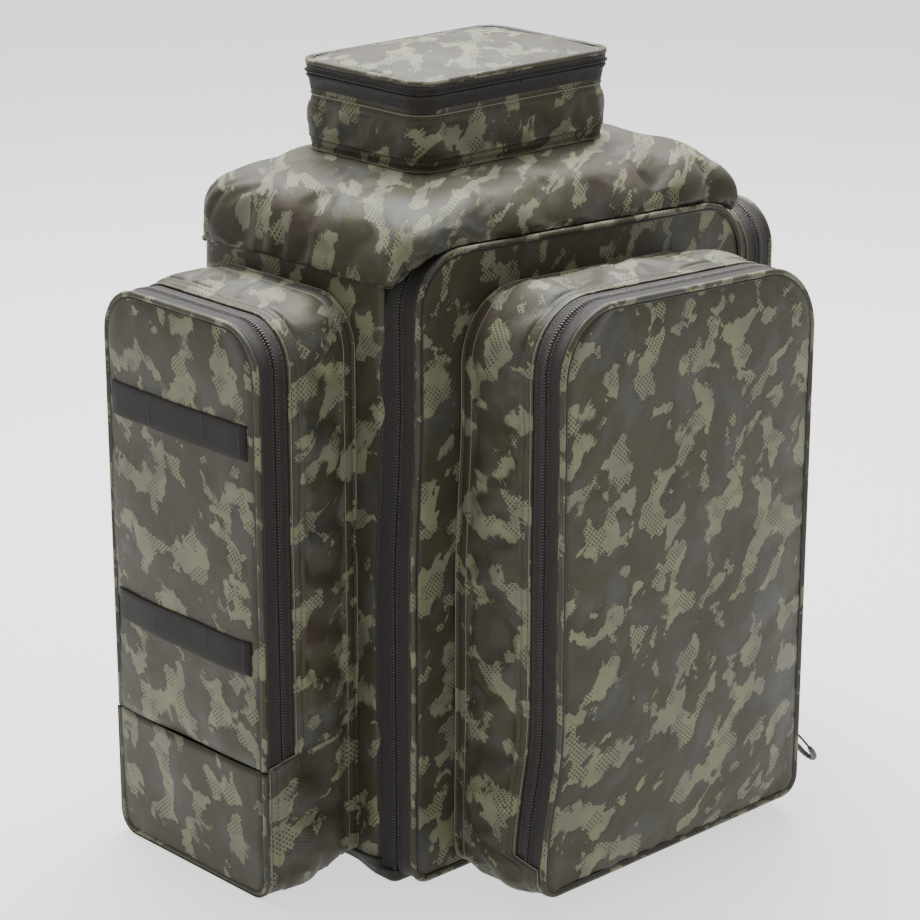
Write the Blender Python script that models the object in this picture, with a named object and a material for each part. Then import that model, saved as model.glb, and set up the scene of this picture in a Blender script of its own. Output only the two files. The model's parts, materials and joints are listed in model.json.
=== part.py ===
"""Large carp-fishing rucksack: a main compartment with a padded yoke and a zipped top hatch, a drop-down
front panel that carries a deep front pocket, two side pockets, and a padded harness on the back.

Metres, +Z up. X runs across the wearer's back, -Y is the front that faces away from the wearer, and the
origin is on the ground under the middle of the main compartment.
"""

import math

import bmesh
import bpy
from mathutils import Matrix, Vector

GAP = 0.0004  # clearance between neighbouring solids
FABRIC = 0.004  # padded fabric wall
TAPE = 0.002  # zip tape with its coil
TAPE_INSET = 0.0015  # zip tapes lie this far inside the piping's outer edge
PIPING_RADIUS = 0.003
PIPING_SINK = 0.002  # from a flap's face back to the middle of its piping
PIPING_BACK = PIPING_SINK + PIPING_RADIUS
FLAP_INSET = 2 * PIPING_RADIUS + 0.0005  # a flap's panel stops short of its outer edge by its piping
LOW_CORNER = 0.028
ZIP_FOOT = 0.032  # the zips that end beside a flap's lower edge stop this far above it
LIP_DEPTH = 0.0085
CORNER_STEPS = 6
FLAP_HALF = {
    "main_zip": "panel",
    "front_pocket_zip": "flap",
    "left_pocket_zip": "flap",
    "right_pocket_zip": "flap",
}

# Main compartment
BODY_HALF_WIDTH = 0.216
BODY_FRONT = -0.128
BODY_BACK = 0.130
BODY_TOP = 0.563
BODY_CORNER = 0.030
BASE_THICKNESS = 0.012

# Drop-down front panel, closed by a wide zip that runs up one side, over the top and down the other
PANEL_FACE = -0.168
PANEL_HALF_WIDTH = 0.210
PANEL_BOTTOM = 0.002
PANEL_TOP = 0.588
PANEL_CORNER = 0.055
PANEL_THICKNESS = 0.008
MAIN_ZIP_SPLIT = -0.1465
PANEL_HINGE_DEPTH = 0.0125

# Front pocket on the panel
POCKET_FACE = -0.296
POCKET_HALF_WIDTH = 0.167
POCKET_BOTTOM = 0.020
POCKET_TOP = 0.557
POCKET_CORNER = 0.065
POCKET_TAPER = 0.010  # the pocket is this much narrower, each side, where it is sewn to the panel
POCKET_ZIP_WIDTH = 0.030
FLAP_THICKNESS = 0.006

# Side pockets, given for the left one
SIDE_FACE = -0.332
SIDE_FRONT = -0.100
SIDE_REAR = 0.117
SIDE_BOTTOM = 0.002
SIDE_TOP = 0.540
SIDE_CORNER = 0.045
SIDE_HINGE_Z = 0.130  # seam between the flap and the fixed toe below it
SIDE_ZIP_WIDTH = 0.030

# Yoke above the main compartment, then the collar and its lid
YOKE_TOP = 0.612
COLLAR_HALF_WIDTH = 0.119
COLLAR_FRONT = -0.075
COLLAR_BACK = 0.085
COLLAR_BASE = 0.635
COLLAR_TOP = 0.697
COLLAR_CORNER = 0.035
LID_SPLIT = 0.7065
LID_TOP = 0.720
LID_OVERHANG = 0.006

# Harness
PAD_THICKNESS = 0.018
STRAP_WIDTH = 0.068
STRAP_THICKNESS = 0.013
WEB_WIDTH = 0.025
WEB_THICKNESS = 0.0022
BAND_WIDTH = 0.032  # ladder webbing on the side flaps
BAND_HEIGHTS = {"upper": 0.436, "lower": 0.236}
SLIDER_LENGTH = 0.021
SLIDER_WIDTH = 0.012
SLIDER_HEIGHT = 0.0052
BRIDGE_REACH = 0.0035  # from the slider to the middle of its pull's cord
PULL_LENGTH = 0.052
PULL_WIDTH = 0.022
CORD_RADIUS = 0.0011
GRIP_RADIUS = 0.0026

# Right strap and its lower webbing, from the top down, and the right hip wing, from its root to its buckle
STRAP_GUIDES = [
    (0.058, 0.139, 0.566),
    (0.060, 0.160, 0.583),
    (0.066, 0.182, 0.568),
    (0.075, 0.194, 0.510),
    (0.086, 0.194, 0.430),
    (0.098, 0.190, 0.350),
    (0.106, 0.184, 0.285),
]
STRAP_WEB_GUIDES = [
    (0.1065, 0.1832, 0.2560),
    (0.110, 0.1822, 0.225),
    (0.121, 0.178, 0.160),
    (0.137, 0.158, 0.090),
    (0.150, 0.1335, 0.045),
]
LOOP_HINGE = (0.1415, 0.545)
LOOP_END = 0.1325  # where the haul loop's ends meet the body
STERNUM_HEIGHT = 0.420
STERNUM_Y = 0.2035
HIP_PIVOT = (0.178, 0.136)
HIP_GUIDES = [
    (0.178, 0.1375),
    (0.188, 0.160),
    (0.184, 0.190),
    (0.162, 0.214),
    (0.125, 0.228),
    (0.080, 0.234),
    (0.034, 0.236),
]
HIP_LOW, HIP_HIGH = 0.085, 0.165


def clear_scene():
    for obj in list(bpy.data.objects):
        bpy.data.objects.remove(obj)


def material(name, colour, roughness, metallic=0.0):
    made = bpy.data.materials.new(name)
    made.use_nodes = True
    shader = made.node_tree.nodes["Principled BSDF"]
    shader.inputs["Base Color"].default_value = (*colour, 1.0)
    shader.inputs["Roughness"].default_value = roughness
    shader.inputs["Metallic"].default_value = metallic
    return made


def make_materials():
    return {
        "camo": material("camo_fabric", (0.115, 0.108, 0.082), 0.78),
        "dark": material("dark_fabric", (0.032, 0.028, 0.024), 0.8),
        "tape": material("zip_tape", (0.045, 0.038, 0.034), 0.75),
        "webbing": material("webbing", (0.048, 0.042, 0.037), 0.82),
        "mesh": material("spacer_mesh", (0.035, 0.033, 0.030), 0.9),
        "plastic": material("moulded_plastic", (0.022, 0.022, 0.021), 0.45),
        "metal": material("slider_metal", (0.05, 0.048, 0.045), 0.4, 0.8),
        "board": material("frame_board", (0.02, 0.02, 0.02), 0.5),
    }


# ---------------------------------------------------------------- outlines


def arc(centre_u, centre_v, radius, start, end, steps):
    """Points on an arc, angles in degrees."""
    angles = [math.radians(start + (end - start) * i / steps) for i in range(steps + 1)]
    return [(centre_u + radius * math.cos(a), centre_v + radius * math.sin(a)) for a in angles]


def rounded(u0, u1, v0, v1, low_corner, high_corner, inset=0.0, steps=CORNER_STEPS):
    """A closed rectangle outline, anticlockwise, with one corner radius at low v and another at high v."""
    u0, u1, v0, v1 = u0 + inset, u1 - inset, v0 + inset, v1 - inset
    low = max(low_corner - inset, 0.001)
    high = max(high_corner - inset, 0.001)
    return (
        arc(u0 + low, v0 + low, low, 180, 270, steps)
        + arc(u1 - low, v0 + low, low, 270, 360, steps)
        + arc(u1 - high, v1 - high, high, 0, 90, steps)
        + arc(u0 + high, v1 - high, high, 90, 180, steps)
    )


def arch(u0, u1, v0, v1, corner, inset=0.0, steps=CORNER_STEPS):
    """An open outline up one side, over the top and down the other, with rounded top corners."""
    u0, u1, v1 = u0 + inset, u1 - inset, v1 - inset
    radius = max(corner - inset, 0.001)
    top = arc(u0 + radius, v1 - radius, radius, 180, 90, steps)
    top += arc(u1 - radius, v1 - radius, radius, 90, 0, steps)
    return [(u0, v0)] + top + [(u1, v0)]


def band_outline(path_outer, path_inner):
    """The closed outline of a band between two open paths."""
    return path_outer + path_inner[::-1]


AXIS_ORDER = {
    "front": lambda u, v, w: Vector((u, w, v)),
    "side": lambda u, v, w: Vector((w, u, v)),
    "plan": lambda u, v, w: Vector((u, v, w)),
}


# ---------------------------------------------------------------- solids


def solid(name, points, faces, look):
    """A named object from points and faces, with its faces turned outwards."""
    mesh = bpy.data.meshes.new(name)
    shape = bmesh.new()
    made = [shape.verts.new(p) for p in points]
    for face in faces:
        shape.faces.new([made[i] for i in face])
    bmesh.ops.recalc_face_normals(shape, faces=shape.faces[:])
    shape.to_mesh(mesh)
    shape.free()
    mesh.materials.append(look)
    obj = bpy.data.objects.new(name, mesh)
    bpy.context.scene.collection.objects.link(obj)
    mesh.shade_smooth()
    mesh.set_sharp_from_angle(angle=math.radians(35))
    return obj


def prism(name, outline, view, w0, w1, look):
    """An outline given depth from w0 to w1 along the view's third axis."""
    place = AXIS_ORDER[view]
    count = len(outline)
    points = [place(u, v, w) for w in (w0, w1) for u, v in outline]
    faces = [(i, (i + 1) % count, count + (i + 1) % count, count + i) for i in range(count)]
    faces += [tuple(range(count)), tuple(range(count, 2 * count))]
    return solid(name, points, faces, look)


def loops_ring(name, outer_loops, inner_loops, look):
    """A tube-like wall: closed loops of points along its outside, and as many along its inside."""
    count = len(outer_loops[0])
    levels = len(outer_loops)
    points = [p for loop in outer_loops for p in loop] + [p for loop in inner_loops for p in loop]
    inner = levels * count
    faces = []
    for level in range(levels - 1):
        for i in range(count):
            j = (i + 1) % count
            a, b = level * count, (level + 1) * count
            faces.append((a + i, a + j, b + j, b + i))
            faces.append((inner + a + i, inner + b + i, inner + b + j, inner + a + j))
    for level in (0, levels - 1):
        start = level * count
        for i in range(count):
            j = (i + 1) % count
            faces.append((start + i, start + j, inner + start + j, inner + start + i))
    return solid(name, points, faces, look)


def sweep(name, path, section, side_hint, look, closed=False):
    """A section carried along a path. section(i) gives (across, out) pairs, side_hint is roughly outwards."""
    count = len(path)
    rings = []
    for i, here in enumerate(path):
        ahead = path[(i + 1) % count] if closed else path[min(i + 1, count - 1)]
        behind = path[i - 1] if closed else path[max(i - 1, 0)]
        along = (ahead - behind).normalized()
        hint = side_hint(i) if callable(side_hint) else side_hint
        across = along.cross(hint).normalized()
        out = across.cross(along).normalized()
        rings.append([here + across * s + out * t for s, t in section(i)])
    size = len(rings[0])
    points = [p for ring in rings for p in ring]
    faces = []
    for i in range(count if closed else count - 1):
        a, b = i * size, ((i + 1) % count) * size
        faces += [(a + k, a + (k + 1) % size, b + (k + 1) % size, b + k) for k in range(size)]
    if not closed:
        faces += [tuple(range(size)), tuple(range((count - 1) * size, count * size))]
    return solid(name, points, faces, look)


def round_section(radius, sides=6):
    corners = [2 * math.pi * (k + 0.5) / sides for k in range(sides)]
    shape = [(radius * math.cos(a), radius * math.sin(a)) for a in corners]
    return lambda i: shape


def flat_section(width, thickness):
    """A strip lying on its path, standing out by its thickness."""
    half = width / 2
    shape = [(-half, 0), (half, 0), (half, thickness), (-half, thickness)]
    return lambda i: shape


def smooth_path(guides, count):
    """A Catmull-Rom curve through the guide points, as count points."""
    guides = [Vector(g) for g in guides]
    ends = [2 * guides[0] - guides[1]] + guides + [2 * guides[-1] - guides[-2]]
    spans = len(guides) - 1
    points = []
    for k in range(count):
        at = spans * k / (count - 1)
        i = min(int(at), spans - 1)
        t = at - i
        a, b, c, d = ends[i : i + 4]
        points.append(
            0.5 * (2 * b + (c - a) * t + (2 * a - 5 * b + 4 * c - d) * t**2 + (3 * b - 3 * c + d - a) * t**3)
        )
    return points


def pivot(name, position, parent=None):
    """An empty on a joint's axis, which the pieces of that moving body are parented to."""
    empty = bpy.data.objects.new(name, None)
    bpy.context.scene.collection.objects.link(empty)
    empty["place"] = position
    empty.location = Vector(position) - (Vector(parent["place"]) if parent else Vector())
    empty.parent = parent
    return empty


def hang_on(empty, *objects):
    """Parents pieces to a pivot and moves their origins onto it."""
    for obj in objects:
        obj.data.transform(Matrix.Translation(-Vector(empty["place"])))
        obj.parent = empty


# ---------------------------------------------------------------- main compartment


def make_main_shell(looks):
    """Left, back and right walls as one channel, open to the front and the top."""
    w, r = BODY_HALF_WIDTH, BODY_CORNER

    def walls(inset):
        radius = r - inset
        side = w - inset
        back = BODY_BACK - inset
        return (
            [(-side, BODY_FRONT)]
            + arc(-side + radius, back - radius, radius, 180, 90, CORNER_STEPS)
            + arc(side - radius, back - radius, radius, 90, 0, CORNER_STEPS)
            + [(side, BODY_FRONT)]
        )

    outline = band_outline(walls(0.0), walls(FABRIC))
    return prism("main_shell", outline, "plan", BASE_THICKNESS + GAP, BODY_TOP, looks["camo"])


def make_base(looks):
    """Hard-wearing coated base under the main compartment, reaching forward to the panel's hinge seam."""
    outline = rounded(
        0.004 - BODY_HALF_WIDTH,
        BODY_HALF_WIDTH - 0.004,
        PANEL_FACE + 0.018,
        BODY_BACK - 0.002,
        0.012,
        BODY_CORNER,
    )
    return prism("base_panel", outline, "plan", 0.0, BASE_THICKNESS, looks["dark"])


def make_yoke(looks):
    """Padded yoke: the main compartment's outline bulges out, turns over and closes in to the collar."""
    # Each level: half width, front, back, corner radius, height.
    levels = [
        (BODY_HALF_WIDTH, BODY_FRONT, BODY_BACK, BODY_CORNER, BODY_TOP + GAP),
        (BODY_HALF_WIDTH + 0.002, BODY_FRONT, BODY_BACK + 0.004, 0.034, PANEL_TOP),
        (BODY_HALF_WIDTH - 0.004, BODY_FRONT - 0.014, BODY_BACK + 0.004, 0.040, PANEL_TOP + 0.012),
        (BODY_HALF_WIDTH - 0.014, BODY_FRONT - 0.012, BODY_BACK + 0.002, 0.045, YOKE_TOP),
        (0.160, -0.103, 0.108, 0.040, YOKE_TOP + 0.015),
        (COLLAR_HALF_WIDTH + 0.002, COLLAR_FRONT - 0.002, COLLAR_BACK + 0.002, COLLAR_CORNER, COLLAR_BASE),
    ]
    drop = [0.0, 0.0, 0.0, -FABRIC, -FABRIC, 0.0]
    outer, inner = [], []
    for (half, front, back, corner, height), sink in zip(levels, drop):
        outer.append([Vector((x, y, height)) for x, y in rounded(-half, half, front, back, corner, corner)])
        inset = rounded(-half, half, front, back, corner, corner, FABRIC)
        inner.append([Vector((x, y, height + sink)) for x, y in inset])
    return loops_ring("yoke_shell", outer, inner, looks["camo"])


def make_collar(looks):
    """Collar wall with the lower half of the lid zip round its rim."""

    def loop(grow, height):
        half = COLLAR_HALF_WIDTH + grow
        outline = rounded(-half, half, COLLAR_FRONT - grow, COLLAR_BACK + grow, COLLAR_CORNER, COLLAR_CORNER)
        return [Vector((x, y, height)) for x, y in outline]

    wall = loops_ring(
        "collar_wall",
        [loop(0.0, COLLAR_BASE + GAP), loop(0.0, COLLAR_TOP)],
        [loop(-FABRIC, COLLAR_BASE + GAP), loop(-FABRIC, COLLAR_TOP)],
        looks["camo"],
    )
    low, high = COLLAR_TOP + GAP, LID_SPLIT - GAP / 2
    tape = loops_ring(
        "collar_zip_tape",
        [loop(0.0005, low), loop(0.004, high)],
        [loop(0.0005 - TAPE, low), loop(0.004 - TAPE, high)],
        looks["tape"],
    )
    return wall, tape


def make_lid(looks):
    """Hatch lid: a padded panel edged with piping, above the upper half of its zip."""
    half = COLLAR_HALF_WIDTH + LID_OVERHANG
    front = COLLAR_FRONT - LID_OVERHANG
    back = COLLAR_BACK + LID_OVERHANG
    edge = rounded(-half, half, front, back, COLLAR_CORNER, COLLAR_CORNER, PIPING_RADIUS + 0.0035)
    panel = prism("lid_panel", edge, "plan", LID_TOP - 0.007, LID_TOP - 0.001, looks["camo"])
    line = rounded(-half, half, front, back, COLLAR_CORNER, COLLAR_CORNER, PIPING_RADIUS)
    path = [Vector((x, y, LID_TOP - PIPING_RADIUS)) for x, y in line]
    piping = sweep("lid_piping", path, round_section(PIPING_RADIUS), Vector((0, 0, 1)), looks["camo"], True)

    def loop(inset, height):
        outline = rounded(-half, half, front, back, COLLAR_CORNER, COLLAR_CORNER, inset)
        return [Vector((x, y, height)) for x, y in outline]

    low, high = LID_SPLIT + GAP / 2, LID_TOP - 2 * PIPING_RADIUS - GAP
    tape = loops_ring(
        "lid_zip_tape",
        [loop(0.0018, low), loop(0.0005, high)],
        [loop(0.0018 + TAPE, low), loop(0.0005 + TAPE, high)],
        looks["tape"],
    )
    return panel, piping, tape


# ---------------------------------------------------------------- front panel and pockets


def zip_halves(name, view, span, bottom, corner, depth, width, look):
    """Both halves of a zip that runs up one side, over the top and down the other, as thin arch-shaped bands.

    span is (side, side, top) of the flap's edge, and depth is (face, +1 or -1 inwards). Returns the halves
    and the depth where they meet.
    """
    face, inward = depth
    low, high, top = span
    sides, height = (low + TAPE_INSET, high - TAPE_INSET), (bottom, top - TAPE_INSET)
    outline = band_outline(arch(*sides, *height, corner), arch(*sides, *height, corner, TAPE))
    start = face + inward * PIPING_BACK
    split, end = start + inward * width / 2, start + inward * width
    gap = inward * GAP
    flap_half = prism(f"{name}_{FLAP_HALF[name]}_tape", outline, view, start + gap, split - gap / 2, look)
    body_half = prism(f"{name}_body_tape", outline, view, split + gap / 2, end - gap, look)
    return flap_half, body_half, split


def edge_piping(name, view, line, depth, look, closed):
    """Piping along a flap's edge, sunk a little behind its face."""
    face, inward = depth
    place = AXIS_ORDER[view]
    path = [place(u, v, face + inward * PIPING_SINK) for u, v in line]
    outwards = place(0, 0, -inward)
    return sweep(name, path, round_section(PIPING_RADIUS), outwards, look, closed)


def make_front_panel(looks):
    """Drop-down panel that closes the main compartment, with its piping and zip."""
    w = PANEL_HALF_WIDTH
    size = (-w, w, PANEL_BOTTOM, PANEL_TOP, LOW_CORNER, PANEL_CORNER)
    depth = (PANEL_FACE, 1)
    panel = prism(
        "front_panel",
        rounded(*size, FLAP_INSET),
        "front",
        PANEL_FACE,
        PANEL_FACE + PANEL_THICKNESS,
        looks["camo"],
    )
    piping = edge_piping(
        "front_panel_piping", "front", rounded(*size, PIPING_RADIUS), depth, looks["camo"], True
    )
    width = 2 * (MAIN_ZIP_SPLIT - PANEL_FACE - PIPING_BACK)
    span = (-w, w, PANEL_TOP)
    panel_tape, _, _ = zip_halves(
        "main_zip", "front", span, PANEL_BOTTOM + ZIP_FOOT, PANEL_CORNER, depth, width, looks["tape"]
    )
    return panel, piping, panel_tape


def with_step(outline, height):
    """The outline with two points, 1 mm apart, added where each of its sides crosses a height."""
    stepped = []
    for (u0, v0), (u1, v1) in zip(outline, outline[1:] + outline[:1]):
        stepped.append((u0, v0))
        if (v0 - height) * (v1 - height) < 0:
            for v in sorted((height - 0.0005, height + 0.0005), key=lambda v: abs(v - v0)):
                stepped.append((u0 + (u1 - u0) * (v - v0) / (v1 - v0), v))
    return stepped


def gusset(name, view, base, mouth, step_height, depths, look):
    """A pocket's side wall.

    base and mouth are (u0, u1, v0, v1, low corner, high corner). depths are those of the base, of the mouth
    above the step, where the zip is sewn to it, and of the lip below the step.
    """
    place = AXIS_ORDER[view]
    near, far, lip = depths

    def loops(inset):
        first = [place(u, v, near) for u, v in with_step(rounded(*base, inset), step_height)]
        last = []
        for u, v in with_step(rounded(*mouth, inset), step_height):
            last.append(place(u, v, lip if v < step_height else far))
        return [first, last]

    return loops_ring(name, loops(0.0), loops(FABRIC), look)


def make_front_pocket(looks):
    """The deep pocket on the panel: its gusset, its zip and its flap."""
    w, base_w = POCKET_HALF_WIDTH, POCKET_HALF_WIDTH - POCKET_TAPER
    depth = (POCKET_FACE, 1)
    zip_foot = POCKET_BOTTOM + ZIP_FOOT
    flap_tape, body_tape, split = zip_halves(
        "front_pocket_zip",
        "front",
        (-w, w, POCKET_TOP),
        zip_foot,
        POCKET_CORNER,
        depth,
        POCKET_ZIP_WIDTH,
        looks["tape"],
    )
    wall = gusset(
        "front_pocket_gusset",
        "front",
        (-base_w, base_w, POCKET_BOTTOM - 0.011, POCKET_TOP - 0.009, LOW_CORNER, POCKET_CORNER),
        (0.001 - w, w - 0.001, POCKET_BOTTOM + 0.001, POCKET_TOP - 0.001, LOW_CORNER, POCKET_CORNER),
        zip_foot - 0.001,
        (PANEL_FACE - GAP, POCKET_FACE + PIPING_BACK + POCKET_ZIP_WIDTH, POCKET_FACE + LIP_DEPTH),
        looks["camo"],
    )
    size = (-w, w, POCKET_BOTTOM, POCKET_TOP, LOW_CORNER, POCKET_CORNER)
    flap = prism(
        "front_pocket_flap",
        rounded(*size, FLAP_INSET),
        "front",
        POCKET_FACE,
        POCKET_FACE + FLAP_THICKNESS,
        looks["camo"],
    )
    piping = edge_piping(
        "front_pocket_piping", "front", rounded(*size, PIPING_RADIUS), depth, looks["camo"], True
    )
    return wall, body_tape, flap, piping, flap_tape, split


def make_side_pocket(side, sign, looks):
    """One side pocket, whose flap is sewn to a fixed toe below it. sign is -1 for the left one, at -X."""
    face, inward = -sign * SIDE_FACE, -sign
    depth = (face, inward)
    ends = (SIDE_FRONT, SIDE_REAR)
    zip_foot = SIDE_HINGE_Z + 0.006
    flap_tape, _, split = zip_halves(
        f"{side}_pocket_zip",
        "side",
        (*ends, SIDE_TOP),
        zip_foot,
        SIDE_CORNER,
        depth,
        SIDE_ZIP_WIDTH,
        looks["tape"],
    )
    corners = (LOW_CORNER, SIDE_CORNER)
    gusset(
        f"{side}_pocket_gusset",
        "side",
        (SIDE_FRONT + 0.006, SIDE_REAR - 0.006, SIDE_BOTTOM + 0.008, SIDE_TOP + 0.004, *corners),
        (SIDE_FRONT + 0.001, SIDE_REAR - 0.001, SIDE_BOTTOM, SIDE_TOP - 0.001, *corners),
        zip_foot - 0.001,
        (
            sign * (BODY_HALF_WIDTH + GAP),
            face + inward * (PIPING_BACK + SIDE_ZIP_WIDTH),
            face + inward * (FLAP_THICKNESS + GAP),
        ),
        looks["camo"],
    )
    back = face + inward * FLAP_THICKNESS
    toe_arch = arch(*ends, 0.002 - SIDE_HINGE_Z, -SIDE_BOTTOM, LOW_CORNER)
    prism(f"{side}_pocket_toe", [(u, -v) for u, v in toe_arch], "side", face, back, looks["camo"])
    flap = prism(
        f"{side}_pocket_flap",
        arch(*ends, SIDE_HINGE_Z, SIDE_TOP, SIDE_CORNER, FLAP_INSET),
        "side",
        face,
        back,
        looks["camo"],
    )
    line = arch(*ends, SIDE_HINGE_Z + 0.001, SIDE_TOP, SIDE_CORNER, PIPING_RADIUS)
    piping = edge_piping(f"{side}_pocket_piping", "side", line, depth, looks["camo"], False)
    bands = []
    for place, middle in BAND_HEIGHTS.items():
        low, high = middle - BAND_WIDTH / 2, middle + BAND_WIDTH / 2
        outline = rounded(SIDE_FRONT + 0.010, SIDE_REAR - 0.010, low, high, 0.001, 0.001, steps=1)
        near, far = face - inward * GAP, face - inward * (GAP + WEB_THICKNESS)
        bands.append(prism(f"{side}_{place}_webbing", outline, "side", near, far, looks["webbing"]))
    return (flap, piping, flap_tape, *bands), split


# ---------------------------------------------------------------- zip sliders and pulls


def make_slider(name, place, out, along, looks):
    """A slider's tapered body. out points away from the zip, and along is its travel."""
    out, along = Vector(out), Vector(along)
    across = along.cross(out)
    origin = Vector(place)
    half_length, half_width = SLIDER_LENGTH / 2, SLIDER_WIDTH / 2
    profile = [
        (-half_length, half_width * 0.55),
        (-half_length * 0.3, half_width * 0.75),
        (half_length * 0.5, half_width),
        (half_length, half_width * 0.8),
    ]
    outline = profile + [(a, -s) for a, s in profile[::-1]]
    heights = [(0.0, 1.0), (0.6, 1.0), (1.0, 0.55)]
    points = []
    for share, size in heights:
        for a, s in outline:
            points.append(origin + along * a * size + across * s * size + out * SLIDER_HEIGHT * share)
    count = len(outline)
    faces = []
    for level in range(len(heights) - 1):
        a, b = level * count, (level + 1) * count
        faces += [(a + i, a + (i + 1) % count, b + (i + 1) % count, b + i) for i in range(count)]
    faces += [tuple(range(count)), tuple(range((len(heights) - 1) * count, len(heights) * count))]
    return solid(name, points, faces, looks["metal"])


def make_pull(name, top, down, across, looks):
    """A cord loop whose far half runs through a bent moulded grip. down is the way it hangs."""
    top, down, across = Vector(top), Vector(down).normalized(), Vector(across).normalized()
    count = 20
    path, radii = [], []
    for k in range(count):
        turn = 2 * math.pi * k / count
        reach = (1 - math.cos(turn)) / 2  # 0 at the slider, 1 at the grip's end
        spread = math.sin(turn) * (0.35 + 0.65 * reach)
        path.append(top + down * PULL_LENGTH * reach + across * PULL_WIDTH / 2 * spread)
        radii.append(GRIP_RADIUS if reach > 0.62 else CORD_RADIUS)
    sections = [round_section(r, 5)(0) for r in radii]
    return sweep(name, path, lambda i: sections[i], down.cross(across), looks["plastic"], True)


# ---------------------------------------------------------------- harness


def mirrored(guides, sign):
    return [(sign * x, y, z) for x, y, z in guides]


def away_from_wearer(path):
    """Directions square to a strap's path, in the plane that its broad face turns in."""

    def hint(i):
        along = (path[min(i + 1, len(path) - 1)] - path[max(i - 1, 0)]).normalized()
        return Vector((1, 0, 0)).cross(along) * -1

    return hint


def make_strap(side, sign, looks):
    """Padded shoulder strap, its lower webbing and the ladder lock that joins them."""
    path = smooth_path(mirrored(STRAP_GUIDES, sign), 18)
    half, thick = STRAP_WIDTH / 2, STRAP_THICKNESS

    def section(i):
        taper = 0.55 + 0.45 * min(1.0, i / 4)
        if i > 15:
            taper = 0.55 + 0.45 * (17 - i) / 2
        wide = half * taper
        edge = thick * 0.3
        return [
            (-wide, -edge),
            (-wide * 0.8, -thick / 2),
            (wide * 0.8, -thick / 2),
            (wide, -edge),
            (wide, edge),
            (wide * 0.8, thick / 2),
            (-wide * 0.8, thick / 2),
            (-wide, edge),
        ]

    sweep(f"{side}_strap_pad", path, section, away_from_wearer(path), looks["dark"])
    web_path = smooth_path(mirrored(STRAP_WEB_GUIDES, sign), 12)
    sweep(
        f"{side}_strap_webbing",
        web_path,
        flat_section(WEB_WIDTH, WEB_THICKNESS),
        away_from_wearer(web_path),
        looks["webbing"],
    )


def make_ladder_lock(side, sign, looks):
    """Moulded ladder lock that joins the strap pad to its lower webbing."""
    x, y, z = STRAP_GUIDES[-1][0] * sign, STRAP_GUIDES[-1][1], 0.2765
    prism(
        f"{side}_ladder_lock",
        rounded(x - 0.017, x + 0.017, z - 0.0185, z - 0.001, 0.004, 0.004, steps=2),
        "front",
        y - 0.0035,
        y + 0.0021,
        looks["plastic"],
    )


def make_back_pad(looks):
    """Foam pad over the back wall, with a channel down the spine."""
    half, bottom, top = 0.150, 0.170, 0.515
    front, deep, channel = BODY_BACK + GAP, PAD_THICKNESS, 0.006
    profile = [
        (-half, 0.006),
        (-half + 0.012, deep),
        (-0.030, deep),
        (-0.018, channel),
        (0.018, channel),
        (0.030, deep),
        (half - 0.012, deep),
        (half, 0.006),
        (half, 0.0),
        (-half, 0.0),
    ]
    outline = [(x, front + y) for x, y in profile]
    return prism("back_pad", outline, "plan", bottom, top, looks["mesh"])


def make_frame_sheet(looks):
    """Stiffening board inside the back wall."""
    y = BODY_BACK - FABRIC - GAP
    outline = rounded(-0.165, 0.165, 0.030, 0.545, 0.03, 0.03, steps=3)
    return prism("frame_sheet", outline, "front", y - 0.0025, y, looks["board"])


def make_haul_loop(looks):
    """Grab handle between the strap anchors: a webbing arch whose ends are rounded about its hinge line."""
    left = [(-0.030, LOOP_END), (-0.031, 0.142), (-0.031, 0.158), (-0.016, 0.172)]
    guides = [(x, y, LOOP_HINGE[1]) for x, y in left]
    path = smooth_path(guides + mirrored(guides, -1)[::-1], 15)
    half, thick = WEB_WIDTH / 2 - 0.002, 0.0035

    def section(i):
        behind = max(LOOP_HINGE[0] - path[i].y, 0)
        high = min(half, math.sqrt((half + GAP) ** 2 - behind**2))
        return [(-thick / 2, -high), (thick / 2, -high), (thick / 2, high), (-thick / 2, high)]

    return sweep("haul_loop", path, section, Vector((0, 0, 1)), looks["webbing"])


def make_sternum_strap(looks):
    """Chest strap: two webbing halves that meet in a side-release buckle."""
    low, high = STERNUM_HEIGHT - 0.010, STERNUM_HEIGHT + 0.010
    parts = []
    for side, sign in (("left", -1), ("right", 1)):
        outer, inner = sorted((sign * 0.090, sign * 0.0245))
        outline = rounded(outer, inner, low, high, 0.0015, 0.0015, steps=1)
        name, back = f"sternum_strap_{side}", STERNUM_Y + 0.0018
        parts.append(prism(name, outline, "front", STERNUM_Y, back, looks["webbing"]))
    outline = rounded(-0.024, 0.024, low - 0.003, high + 0.003, 0.006, 0.006, steps=3)
    near, far = STERNUM_Y - 0.003, STERNUM_Y + 0.0065
    parts.append(prism("sternum_buckle", outline, "front", near, far, looks["plastic"]))
    return parts


def make_hip_wing(side, sign, looks):
    """Padded hip-belt wing, folded behind the pack with its buckle half at the end."""
    path = smooth_path([(sign * x, y, (HIP_LOW + HIP_HIGH) / 2) for x, y in HIP_GUIDES], 16)
    thick = 0.011

    def section(i):
        half = (HIP_HIGH - HIP_LOW) / 2 * (1.0 - 0.55 * (i / 15) ** 1.5)
        return [(-half, -thick / 2), (half, -thick / 2), (half, thick / 2), (-half, thick / 2)]

    def hint(i):
        along = (path[min(i + 1, len(path) - 1)] - path[max(i - 1, 0)]).normalized()
        return along.cross(Vector((0, 0, 1)))

    return sweep(f"hip_wing_{side}", path, section, hint, looks["dark"])


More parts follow.
